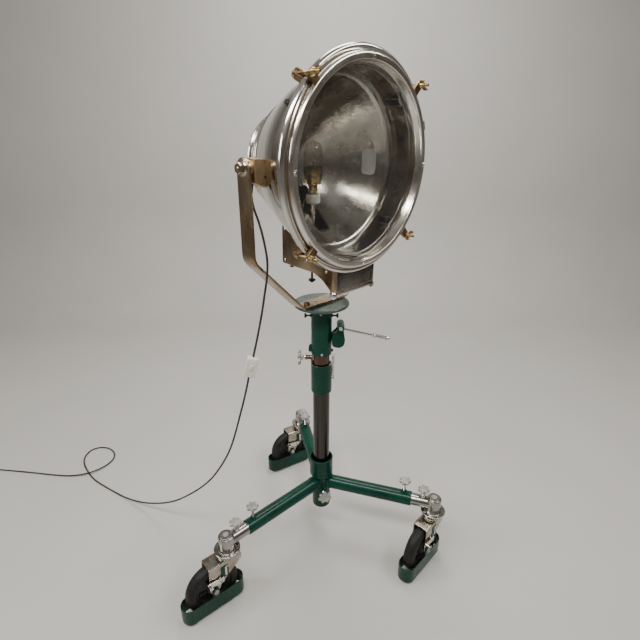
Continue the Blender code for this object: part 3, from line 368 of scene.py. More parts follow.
def finish(name, clean, worn, rough, metallic=0.0, scale=6.0, stretch=(1, 1, 1), worn_share=0.5,
           bump=0.0, bump_scale=250.0, speck=None, speck_scale=160.0, speck_size=0.70, sockets=()):
    """A Principled finish. Noise blends clean into worn and shifts the roughness; finer noise makes the
    bump; small specks of a third colour sit where a fourth noise is above speck_size."""
    made = bpy.data.materials.new(name)
    made.use_nodes = True
    tree = made.node_tree
    shader = tree.nodes["Principled BSDF"]
    shader.inputs["Metallic"].default_value = metallic
    for socket, value in sockets:
        shader.inputs[socket].default_value = value

    def node(kind, **values):
        added = tree.nodes.new(kind)
        for key, value in values.items():
            setattr(added, key, value)
        return added

    def noise(size, detail=5.0):
        added = node("ShaderNodeTexNoise")
        added.inputs["Scale"].default_value = size
        added.inputs["Detail"].default_value = detail
        tree.links.new(mapping.outputs[0], added.inputs["Vector"])
        return added.outputs["Fac"]

    def ranged(value, low, high, to_low, to_high):
        added = node("ShaderNodeMapRange")
        for socket, number in zip(("From Min", "From Max", "To Min", "To Max"), (low, high, to_low, to_high)):
            added.inputs[socket].default_value = number
        tree.links.new(value, added.inputs["Value"])
        return added.outputs[0]

    def blend_colour(share, a, b):
        added = node("ShaderNodeMix", data_type="RGBA")
        tree.links.new(share, added.inputs["Factor"])
        for socket, colour in (("A", a), ("B", b)):
            plug = next(s for s in added.inputs if s.name == socket and s.type == "RGBA")
            if isinstance(colour, bpy.types.NodeSocket):
                tree.links.new(colour, plug)
            else:
                plug.default_value = (*colour, 1.0)
        return next(s for s in added.outputs if s.type == "RGBA")

    place = node("ShaderNodeTexCoord")
    mapping = node("ShaderNodeMapping")
    mapping.inputs["Scale"].default_value = stretch
    tree.links.new(place.outputs["Object"], mapping.inputs["Vector"])
    wear = noise(scale)
    share = ranged(wear, worn_share - WEAR_BAND, worn_share + WEAR_BAND, 0.0, 1.0)
    colour = blend_colour(share, clean, worn)
    roughness = ranged(noise(scale * 3.0), 0.3, 0.7, rough[0], rough[1])
    if speck is not None:
        spots = ranged(noise(speck_scale, 2.0), speck_size, speck_size + 0.04, 0.0, 1.0)
        colour = blend_colour(spots, colour, speck)
        added = node("ShaderNodeMath", operation="MULTIPLY_ADD")
        tree.links.new(spots, added.inputs[0])
        added.inputs[1].default_value = 0.4
        tree.links.new(roughness, added.inputs[2])
        roughness = added.outputs[0]
    tree.links.new(colour, shader.inputs["Base Color"])
    tree.links.new(roughness, shader.inputs["Roughness"])
    if bump:
        relief = node("ShaderNodeBump")
        relief.inputs["Strength"].default_value = bump
        relief.inputs["Distance"].default_value = 0.001
        tree.links.new(noise(bump_scale, 3.0), relief.inputs["Height"])
        tree.links.new(relief.outputs[0], shader.inputs["Normal"])
    return made


FINISHES = {}


def make_finishes():
    """Makes every finish once, under a short name."""
    c = settings()
    polished = tuple(c.polished_colour)
    green = tuple(c.green_colour)
    made = FINISHES
    made["polished"] = finish("polished_aluminium", polished, (0.58, 0.54, 0.49), (0.07, 0.20), 1.0, 5.0,
                              bump=0.02, bump_scale=140.0, speck=(0.30, 0.25, 0.20), speck_size=0.74)
    made["interior"] = finish("reflector_aluminium", (0.56, 0.54, 0.50), (0.30, 0.26, 0.21), (0.12, 0.30),
                              1.0, 7.0, worn_share=0.48, bump=0.06, bump_scale=30.0, speck=(0.22, 0.18, 0.14))
    made["ring"] = finish("door_aluminium", (0.78, 0.76, 0.72), (0.55, 0.49, 0.42), (0.10, 0.26), 1.0, 9.0,
                          bump=0.03, speck=(0.30, 0.22, 0.15), speck_size=0.70)
    made["cap"] = finish("rear_cap_aluminium", polished, (0.62, 0.56, 0.50), (0.10, 0.25), 1.0, 8.0,
                         bump=0.02)
    made["yoke"] = finish("yoke_steel", (0.52, 0.42, 0.30), (0.26, 0.175, 0.098), (0.14, 0.34), 1.0, 9.0,
                          stretch=(1, 1, 0.35), worn_share=0.52, bump=0.05, bump_scale=300.0,
                          speck=(0.12, 0.08, 0.05), speck_scale=120.0, speck_size=0.68)
    made["lamp_box"] = finish("lamp_box_steel", (0.46, 0.35, 0.245), (0.20, 0.135, 0.080), (0.12, 0.30),
                              1.0, 11.0, worn_share=0.50, bump=0.05, speck=(0.10, 0.07, 0.05),
                              speck_size=0.69)
    made["bracket"] = finish("bracket_steel", (0.62, 0.47, 0.29), (0.34, 0.23, 0.13), (0.30, 0.46), 1.0, 16.0,
                             bump=0.06, speck=(0.14, 0.09, 0.05), speck_size=0.70)
    made["panel"] = finish("panel_steel", (0.20, 0.195, 0.185), (0.10, 0.085, 0.070), (0.14, 0.32), 1.0, 12.0,
                           bump=0.04, speck=(0.30, 0.25, 0.19), speck_size=0.72)
    made["nickel"] = finish("worn_nickel", (0.46, 0.45, 0.43), (0.27, 0.25, 0.23), (0.12, 0.28), 1.0, 25.0,
                            bump=0.03, speck=(0.12, 0.10, 0.08), speck_size=0.73)
    made["chrome"] = finish("chrome", tuple(c.chrome_colour), (0.55, 0.53, 0.50), (0.05, 0.16), 1.0, 12.0,
                            worn_share=0.58, bump=0.02, speck=(0.20, 0.14, 0.10), speck_size=0.72)
    made["column"] = finish("column_chrome", (0.075, 0.072, 0.066), (0.030, 0.020, 0.014), (0.10, 0.26),
                            1.0, 30.0, stretch=(1, 1, 0.04), worn_share=0.55, bump=0.02,
                            speck=(0.12, 0.07, 0.05))
    made["riser"] = finish("stained_riser", (0.16, 0.11, 0.09), (0.06, 0.028, 0.018), (0.12, 0.30), 1.0, 40.0,
                           stretch=(1, 1, 0.05), worn_share=0.50, bump=0.03)
    made["caster"] = finish("caster_plate", (0.50, 0.47, 0.42), (0.30, 0.22, 0.14), (0.14, 0.32), 1.0, 22.0,
                            worn_share=0.52, bump=0.06, speck=(0.14, 0.09, 0.06), speck_size=0.74)
    made["cast"] = finish("cast_zinc", (0.50, 0.50, 0.48), (0.32, 0.31, 0.29), (0.36, 0.55), 0.70, 30.0,
                          bump=0.22, bump_scale=700.0, speck=(0.2, 0.18, 0.15), speck_size=0.72)
    made["brass"] = finish("brass", (0.52, 0.38, 0.17), (0.20, 0.135, 0.07), (0.20, 0.42), 1.0, 60.0,
                           worn_share=0.52, bump=0.10, bump_scale=500.0)
    made["bronze"] = finish("oxidised_bronze", (0.27, 0.19, 0.105), (0.10, 0.065, 0.038), (0.28, 0.48), 0.9,
                            60.0, bump=0.15, bump_scale=600.0)
    made["green"] = finish("green_paint", green, tuple(v * 0.55 for v in green), (0.20, 0.38), 0.0, 7.0,
                           bump=0.05, bump_scale=160.0, speck=(0.02, 0.04, 0.035), speck_size=0.73,
                           sockets=(("Coat Weight", 0.16), ("Coat Roughness", 0.08),
                                    ("Specular IOR Level", 0.18)))
    made["plate_green"] = finish("plate_paint", (0.070, 0.120, 0.108), (0.022, 0.058, 0.048), (0.22, 0.42),
                                 0.25, 14.0, bump=0.08, bump_scale=220.0, speck=(0.16, 0.18, 0.17),
                                 speck_size=0.70, sockets=(("Coat Weight", 0.5), ("Coat Roughness", 0.2)))
    made["rubber"] = finish("tyre_rubber", (0.006, 0.006, 0.006), (0.016, 0.015, 0.014), (0.48, 0.66), 0.0,
                            30.0, bump=0.20, bump_scale=420.0, sockets=(("Specular IOR Level", 0.28),))
    made["wheel"] = finish("wheel_centre", (0.040, 0.040, 0.039), (0.018, 0.018, 0.017), (0.35, 0.55), 0.4,
                           30.0, bump=0.12, bump_scale=400.0)
    made["black"] = finish("black_metal", (0.010, 0.010, 0.010), (0.030, 0.028, 0.026), (0.26, 0.48), 0.0,
                           40.0, bump=0.12, bump_scale=500.0)
    made["lead"] = finish("lead_sheath", (0.010, 0.010, 0.011), (0.024, 0.023, 0.022), (0.38, 0.55), 0.0,
                          20.0, bump=0.10, bump_scale=900.0)
    made["ivory"] = finish("ivory_plastic", tuple(c.ivory_colour), (0.66, 0.63, 0.55), (0.28, 0.45), 0.0,
                           30.0, bump=0.08, bump_scale=900.0, sockets=(("Subsurface Weight", 0.05),))
    made["gasket"] = finish("gasket", (0.16, 0.11, 0.075), (0.07, 0.045, 0.03), (0.5, 0.7), 0.0, 40.0,
                            bump=0.2)
    made["cover"] = finish("cover_aluminium", (0.80, 0.78, 0.74), (0.62, 0.58, 0.52), (0.42, 0.55), 0.6, 20.0,
                           bump=0.04)
    made["porcelain"] = finish("porcelain", (0.78, 0.76, 0.70), (0.60, 0.55, 0.45), (0.15, 0.3), 0.0, 20.0)
    made["yellow"] = finish("yellow_sheath", (0.72, 0.52, 0.05), (0.55, 0.38, 0.03), (0.35, 0.5), 0.0, 30.0,
                            bump=0.1)
    made["glass"] = finish("front_glass", (0.97, 0.985, 0.98), (0.93, 0.955, 0.95), (0.0, 0.02), 0.0, 4.0,
                           sockets=(("Transmission Weight", 1.0), ("IOR", 1.45)))
    made["bulb"] = finish("lamp_glass", (0.96, 0.93, 0.88), (0.88, 0.82, 0.74), (0.0, 0.03), 0.0, 9.0,
                          sockets=(("Transmission Weight", 1.0), ("IOR", 1.35)))


# --- Camera and leads ---

DROP_ROUTE = (
    (-0.2740, 0.0166, 1.4860),
    (-0.2741, 0.0158, 1.4700),
    (-0.2745, 0.0080, 1.4450),
    (-0.2720, -0.0120, 1.4000),
    (-0.2705, -0.0280, 1.3500),
    (-0.2718, -0.0410, 1.2950),
    (-0.2775, -0.0430, 1.2450),
    (-0.2860, -0.0370, 1.1850),
    (-0.2945, -0.0290, 1.1230),
    (-0.3075, -0.0160, 1.0400),
)
SWITCH_CENTRE = (-0.3250, 0.0025, 0.9395)
SWITCH_UP = (0.1716, -0.1838, 0.9681)
SWITCH_HALF = 0.0375
ON_FLOOR = 0.0039
LEAD_ROUTE = (
    (-0.3365, 0.0180, 0.8600),
    (-0.3480, 0.0450, 0.7600),
    (-0.3690, 0.1050, 0.5760),
    (-0.3930, 0.1880, 0.4250),
    (-0.4180, 0.2790, 0.3100),
    (-0.4550, 0.4100, 0.1850),
    (-0.4830, 0.5100, 0.1130),
    (-0.5140, 0.6190, 0.0560),
    (-0.5390, 0.7050, 0.0250),
    (-0.5640, 0.7900, 0.0080),
    (-0.5860, 0.8710, ON_FLOOR),
    (-0.6070, 0.9500, ON_FLOOR),
    (-0.6220, 1.0200, ON_FLOOR),
    (-0.6265, 1.0900, ON_FLOOR),
    (-0.6190, 1.1850, ON_FLOOR),
    (-0.5960, 1.2450, ON_FLOOR),
    (-0.5520, 1.2810, ON_FLOOR),
    (-0.5050, 1.2720, ON_FLOOR),
    (-0.4740, 1.2330, ON_FLOOR),
    (-0.4660, 1.1800, ON_FLOOR),
    (-0.4820, 1.1320, ON_FLOOR),
    (-0.5150, 1.1040, 0.0048),
    (-0.5560, 1.0890, 0.0080),
    (-0.5950, 1.0850, 0.0108),
    (-0.6300, 1.0920, 0.0115),
    (-0.6700, 1.1150, 0.0090),
    (-0.7150, 1.1580, 0.0050),
    (-0.7700, 1.2250, ON_FLOOR),
    (-0.8550, 1.3370, ON_FLOOR),
    (-0.9520, 1.4590, ON_FLOOR),
)
HAND_OVER = 3
COIL_CENTRE = np.array((-1.0358, 1.4951, 0.0))
COIL_WAY = unit(np.array((-0.636, 0.772, 0.0)))
COIL_TURNS = 4 + 130 / 360
COIL_RADII = (0.0420, 0.0350)
COIL_APPROACH = 0.025
PLUG_Z = 0.0142


def coil_path(cord):
    """The coil's turns. Each step in or up takes 50 degrees, and starts 55 degrees earlier in its turn
    than the one before, so that no turn crosses the step under it."""
    outer, inner = COIL_RADII
    start = math.atan2(-COIL_WAY[0], COIL_WAY[1])
    degrees = np.linspace(0, 360 * COIL_TURNS, int(60 * COIL_TURNS))
    steps = ((310, "in", 1), (360 + 255, "up", 1), (720 + 200, "in", -1), (1080 + 145, "up", 1))
    radius = np.full(len(degrees), outer)
    height = np.full(len(degrees), ON_FLOOR)
    for first, kind, sign in steps:
        t = np.clip((degrees - first) / 50, 0, 1)
        t = t * t * (3 - 2 * t)
        if kind == "in":
            radius -= sign * t * (outer - inner)
        else:
            height += t * cord
    a = start + np.radians(degrees)
    return COIL_CENTRE + np.stack([radius * np.cos(a), radius * np.sin(a), height], -1)


CAMERA_AT = (-1.0852, -1.0852, 1.642)
CAMERA_DROP, CAMERA_TURN = 22.32, -44.8
LENS = 25.22


class FOLLOWSPOT_OT_camera(Operator):
    """Puts the camera in front of the lamp, at head height"""

    bl_idname = "followspot.camera"
    bl_label = "Camera"

    def execute(self, context):
        data = bpy.data.cameras.new("camera")
        data.sensor_width = 36.0
        data.lens = LENS
        camera = bpy.data.objects.new("camera", data)
        context.scene.collection.objects.link(camera)
        camera.location = AXIS + CAMERA_AT
        camera.rotation_euler = (math.radians(90.0 - CAMERA_DROP), 0.0, math.radians(CAMERA_TURN))
        context.scene.camera = camera
        return {"FINISHED"}


def plug_surfaces():
    """A round moulded plug along Z: a ribbed strain relief, a gripped body and two pins."""
    ribs = [(0.000, 0.0), (0.000, 0.0042)]
    for k in range(5):
        h = 0.003 + 0.0038 * k
        ribs += [(h, 0.0044 + 0.0003 * k), (h + 0.0018, 0.0044 + 0.0003 * k),
                 (h + 0.0022, 0.0040 + 0.0002 * k)]
    body = soften([(0.023, 0.0066), (0.029, 0.0122), (0.036, 0.0128), (0.050, 0.0138), (0.054, 0.0138),
                   (0.054, 0.0)], 0.0012, loop=False)
    pin = turned([(0, 0), (0, 0.0024), (0.017, 0.0024), (0.019, 0.0014), (0.019, 0)], 16)
    pins = [moved(pin, (side * 0.0065, 0, 0.0535)) for side in (1, -1)]
    return turned(np.concatenate([ribs, body]), 40), pins


class FOLLOWSPOT_OT_leads(Operator):
    """Makes the lead, its inline switch and its plug"""

    bl_idname = "followspot.leads"
    bl_label = "Leads"

    def execute(self, context):
        cord = settings().cord_diameter
        up = unit(np.array(SWITCH_UP))
        centre = AXIS + SWITCH_CENTRE
        above, below = centre + up * (SWITCH_HALF + 0.0003), centre - up * (SWITCH_HALF + 0.0003)
        drop = smooth_route([*(AXIS + p for p in DROP_ROUTE), above], 0.006)
        self.lead("lead_drop", drop, cord, X, ("head", "turntable"), drop[0], AXIS + DROP_ROUTE[5],
                  "cord_drop", "fitting", [self.switch(centre, up)])
        whole = smooth_route([below, *(AXIS + p for p in LEAD_ROUTE), *(AXIS + self.arrival())], 0.006)
        hand_over = AXIS + LEAD_ROUTE[HAND_OVER]
        split = int(np.argmin(np.linalg.norm(whole - hand_over, axis=1)))
        upper, lower = whole[: split + 1], whole[split:]
        coil = AXIS + coil_path(cord)
        way = unit(coil[-1] - coil[-2]) * (1, 1, 0)
        back = coil[-1] + way * (COIL_APPROACH + 0.003)
        back[2] = PLUG_Z
        lower = resample(np.concatenate([lower[:-1], smooth_route([*coil[:: 3], coil[-1], back], 0.004)]),
                         0.005)
        self.lead("lead_upper", upper, cord, Z, ("turntable", "mast"), upper[0], upper[-1],
                  "cord_lead", "object", [])
        plug = self.plug(back, way)
        self.lead("lead_lower", lower, cord, Z, ("mast", "stand"), lower[0], AXIS + LEAD_ROUTE[8],
                  ("cord_lead", "cord_coil"), "plug", plug)
        return {"FINISHED"}

    def arrival(self):
        """The point a little before the coil, where the lead meets its outer turn."""
        outward = np.array((COIL_WAY[1], -COIL_WAY[0], 0.0))
        touch = COIL_CENTRE + outward * COIL_RADII[0]
        return np.stack([touch - COIL_WAY * COIL_APPROACH, touch - COIL_WAY * 0.004]) + (0, 0, ON_FLOOR)

    def lead(self, name, path, cord, side, bodies, start, end, replaced, far_end, pieces):
        """A round tube along the path, with the nodes it replaces hidden."""
        made = build(name, [swept(path, cord / 2, side)], np.eye(4), "lead", 80.0)
        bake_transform(made)
        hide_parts(*([replaced] if isinstance(replaced, str) else replaced))

    def switch(self, centre, up):
        """Two moulded halves, with a rocker and a rim at each end for the lead."""
        turn = math.radians(-35.0)
        across = unit(np.cross(Y, up))
        front = np.cross(up, across)
        facing = math.cos(turn) * across + math.sin(turn) * front
        at = placed(centre, up, facing)
        half = SWITCH_HALF
        ends = [moved(turned([(0, 0), (0, 0.0075), (0.003, 0.0062), (0.003, 0)], 24),
                      (0, 0, s * (half - 0.003)), s * Z) for s in (1, -1)]
        shells = [moved(box((0.036, 0.0116, 2 * half - 0.004), 0.0022, 0.003), (0, s * 0.0061, 0))
                  for s in (1, -1)]
        case = piece("inline_switch", [*shells, *ends], at, "ivory", "turntable",
                     "cord_switch")
        rocker = plate(soften([(-0.0065, -0.010), (0.0065, -0.010), (0.0065, 0.010), (-0.0065, 0.010)],
                              0.002), 0.004, 0.0012)
        knob = piece("switch_rocker", moved(rocker, (0, -0.0125, 0.002), -Y), at, "porcelain", "turntable")
        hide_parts("cord_switch")
        return case

    def plug(self, back, way):
        """The plug lies along way, with its strain relief at back."""
        at = placed(back, way, Z)
        body, pins = plug_surfaces()
        made = piece("mains_plug", body, at, "black", "stand", "cord_plug")
        prongs = piece("plug_pins", pins, at, "brass", "stand")
        return [made, prongs]


# --- Lamp house ---

BACK = (-0.178, 0.155)
WAIST = (0.051, 0.2705)
FRONT = (0.152, 0.2785)
WALL = 0.003
CLAMP_ANGLES = (45.0, 135.0, 225.0, 315.0)
CLAMP_PIVOT = 0.135
CLAMP_R = 0.329
SLOT = (-0.100, 0.016)
SLOT_HALF = 0.028
BEADS = (-0.1180, -0.0960)
HINGE_ANGLE, CATCH_ANGLE = 69.0, 305.0
RIM_IN = 0.3232


def house_radius(s):
    """The lamp house's outer radius: two straight cones, less a soft waist, and two beads, where the waist
    and each bead are a bell curve exp(-((s - at) / width)^2)."""
    s = np.asarray(s, float)
    r = np.interp(s, (BACK[0], WAIST[0], FRONT[0]), (BACK[1], WAIST[1], FRONT[1]))
    beads = sum(np.exp(-(((s - at) / 0.0042) ** 2)) for at in BEADS)
    return r - 0.0035 * np.exp(-(((s - WAIST[0]) / 0.016) ** 2)) + 0.0034 * beads - 0.0016


def house_profile():
    """The lamp house's outline: its outer wall, a neck, a rolled rim as part of an ellipse, the lip that
    seats the glass, and the inner wall back again."""
    rows = ((BACK[0], -0.13, 6), (-0.128, -0.086, 43), (-0.08, SLOT[1], 9), (0.02, 0.10, 17),
            (0.11, FRONT[0], 6))
    s = np.concatenate([np.linspace(*row) for row in rows])
    outer = np.stack([s, house_radius(s)], -1)
    roll_angle = np.linspace(math.radians(188), math.radians(-22), 22)
    roll = np.stack([0.1672 + 0.0118 * np.cos(roll_angle), 0.3130 + 0.0095 * np.sin(roll_angle)], -1)
    lip = [(0.1775, 0.3065), (0.1765, 0.3042), (0.1700, 0.3040), (0.1700, 0.2766), (0.1652, 0.2766),
           (0.1652, 0.2702), (0.1545, 0.2702)]
    neck = soften([outer[-1], (0.1547, 0.2800), (0.1550, 0.2980), roll[0]], 0.004, loop=False)[1:-1]
    inner = np.stack([s[::-1], house_radius(s[::-1]) - WALL], -1)
    return np.concatenate([outer, neck, roll, lip, inner])


def clamp_frame(angle):
    """The lamp's frame, turned so that its Y points outwards through a clamp."""
    a = math.radians(angle)
    return HEAD @ placed((0, 0, 0), Z, (math.cos(a), -math.sin(a), 0))


class FOLLOWSPOT_OT_house(Operator):
    """Makes the polished lamp house, its rear cap and the lugs of its clamps"""

    bl_idname = "followspot.house"
    bl_label = "Lamp house"

    def execute(self, context):
        profile = house_profile()
        inside = (profile[:, 0] > SLOT[0] - 1e-6) & (profile[:, 0] < SLOT[1] + 1e-6)
        piece("polished_house", slotted(profile, inside, SLOT_HALF), HEAD, "polished", "head",
              "lamp_house", 30.0)
        bead = [(0.0006, -0.004), (0.0006, 0.0022), (-0.0035, 0.0034), (-0.0065, 0.0022), (-0.0080, 0.0002),
                (-0.0105, 0.0008), (-0.0125, -0.0020), (-0.0150, -0.0100)]
        b, r = BACK
        rim = soften([(b - 0.0009 + h, r + d) for h, d in bead], 0.0016, loop=False)
        dome = [(b - 0.029, 0.115), (b - 0.0385, 0.065), (b - 0.0415, 0.0), (b - 0.0390, 0.0),
                (b - 0.036, 0.064), (b - 0.026, 0.113)]
        profile = np.concatenate([rim, soften(dome, 0.02, 8, loop=False), [(b - 0.009, r - 0.013)]])
        piece("domed_rear_cap", turned(profile, 128), HEAD, "cap", "head", "rear_cap", 50.0)
        boss = turned(soften([(0, 0), (0, 0.016), (0.004, 0.015), (0.006, 0.009), (0.006, 0)], 0.001), 32)
        piece("rear_boss", moved(boss, (0, 0, b - 0.0405), -Z), HEAD, "chrome", "head")
        piece("door_gasket", turned(soften([(0.1712, 0.3030), (0.1712, 0.3037), (0.1780, 0.3048),
                                            (0.1780, 0.3030)], 0.0002), 160), HEAD, "gasket", "head")
        ear = soften([(0.300, 0.1545), (0.318, 0.160), (0.336, 0.146), (0.3385, 0.134), (0.330, 0.126),
                      (0.318, 0.128), (0.296, 0.1525)], 0.005)
        for k, angle in enumerate(CLAMP_ANGLES, 1):
            at = clamp_frame(angle)
            ears = [moved(plate(ear, 0.0046, 0.0012), (side * 0.0078, 0, 0), X, Y) for side in (1, -1)]
            strap = box((0.030, 0.020, 0.0030), 0.0008, 0.003)
            foot = moved(strap, (0, 0.3065, 0.1532), Z)
            piece(f"clamp_lugs_{k}", [*ears, foot], at, "bronze", "head")
        self.trim()
        return {"FINISHED"}

    def trim(self):
        """The clips and screws round the rim."""
        for k, angle in enumerate((0.0, 90.0, 180.0, 270.0), 1):
            at = clamp_frame(angle)
            clip = box((0.014, 0.012, 0.0022), 0.0006, 0.002)
            head = moved(screw_head(0.0042, 0.003), (0, 0.2925, 0.1958))
            piece(f"glass_clip_{k}", [moved(clip, (0, 0.2885, 0.1952)), head], at, "chrome", "head")
        hinge = clamp_frame(HINGE_ANGLE)
        leaf = moved(box((0.026, 0.016, 0.018), 0.0008, 0.002), (0, 0.3265, 0.160))
        knuckle = moved(rod(-0.014, 0.014, 0.0055, 20, 0.001),
                        (0, 0.3335, 0.166), X)
        piece("rim_hinge", [leaf, knuckle], hinge, "brass", "head")
        clip = clamp_frame(CATCH_ANGLE)
        piece("rim_catch", moved(box((0.012, 0.020, 0.018), 0.001, 0.002), (0, 0.2870, 0.112)), clip,
              "black", "head")


class FOLLOWSPOT_OT_door(Operator):
    """Makes the door ring, the front glass, and the swing bolts with their wing nuts"""

    bl_idname = "followspot.door"
    bl_label = "Door"

    def execute(self, context):
        profile = soften([(0.1706, 0.3028), (0.1800, 0.3031), (0.1850, 0.3030), (0.1905, 0.3012),
                          (0.1940, 0.2975), (0.1950, 0.2940), (0.1950, 0.2815), (0.1930, 0.2798),
                          (0.1880, 0.2785), (0.1740, 0.2724), (0.1706, 0.2718)], 0.0016)
        piece("polished_door_ring", turned(profile, 192), HEAD, "ring", "head", "door_ring", 35.0)
        glass = soften([(0.1655, 0.0), (0.1655, 0.2748), (0.1695, 0.2748), (0.1700, 0.2000), (0.1702, 0.0)],
                       0.0005)
        piece("clear_front_glass", turned(glass, 128), HEAD, "glass", "head", "front_glass",
              60.0)
        inner, outer, slot_half, floor = 0.2960, 0.3315, 0.0047, 0.3240
        lug = soften([(-0.012, inner), (0.012, inner), (0.012, outer), (slot_half, outer), (slot_half, floor),
                      (-slot_half, floor), (-slot_half, outer), (-0.012, outer)], 0.0022)
        for k, angle in enumerate(CLAMP_ANGLES, 1):
            at = clamp_frame(angle)
            piece(f"slotted_lug_{k}", moved(plate(lug, 0.012, 0.001), (0, 0, 0.1875)), at, "bronze",
                  "head")
            self.clamp(k, at)
        return {"FINISHED"}

    def clamp(self, k, at):
        """A swing bolt on its pin, and the wing nut on its thread: turned outlines, and two flat wings."""
        eye = sleeve(-0.005, 0.005, 0.0032, 0.0085, 32, 0.0015)
        pin = turned(soften([(-0.012, 0), (-0.012, 0.0048), (-0.0105, 0.0048), (-0.0105, 0.003),
                             (0.0105, 0.003), (0.0105, 0.0048), (0.012, 0.0048), (0.012, 0)], 0.0003), 24)
        pivot = (0, CLAMP_R, CLAMP_PIVOT)
        shank = turned(soften([(0.006, 0), (0.006, 0.0046), (0.030, 0.0040), (0.030, 0)], 0.0005), 24)
        thread = turned(threads(0.030, 0.087, 0.0040, 0.00125), 24)
        bolt = [moved(s, pivot, Z) for s in (shank, thread)]
        piece(f"swing_bolt_detail_{k}", [moved(eye, pivot, X, Y), moved(pin, pivot, X, Y), *bolt], at,
              "brass", f"clamp_{k}", f"swing_bolt_{k}")
        hub = turned(soften([(0.1943, 0.0042), (0.1943, 0.0098), (0.1975, 0.0098), (0.2070, 0.0068),
                             (0.2070, 0.0042)], 0.0008), 32)
        wing = soften([(0.0055, 0.1965), (0.0130, 0.1960), (0.0185, 0.1985), (0.0195, 0.2060),
                       (0.0185, 0.2135), (0.0140, 0.2150), (0.0105, 0.2110), (0.0055, 0.2060)], 0.004, 5)
        wings = [moved(plate(wing * (side, 1), 0.0036, 0.0015, 4), (0, CLAMP_R, 0), -Y, X)
                 for side in (1, -1)]
        piece(f"wing_nut_detail_{k}", [moved(hub, (0, CLAMP_R, 0)), *wings], at, "brass", f"clamp_nut_{k}",
              f"wing_nut_{k}")


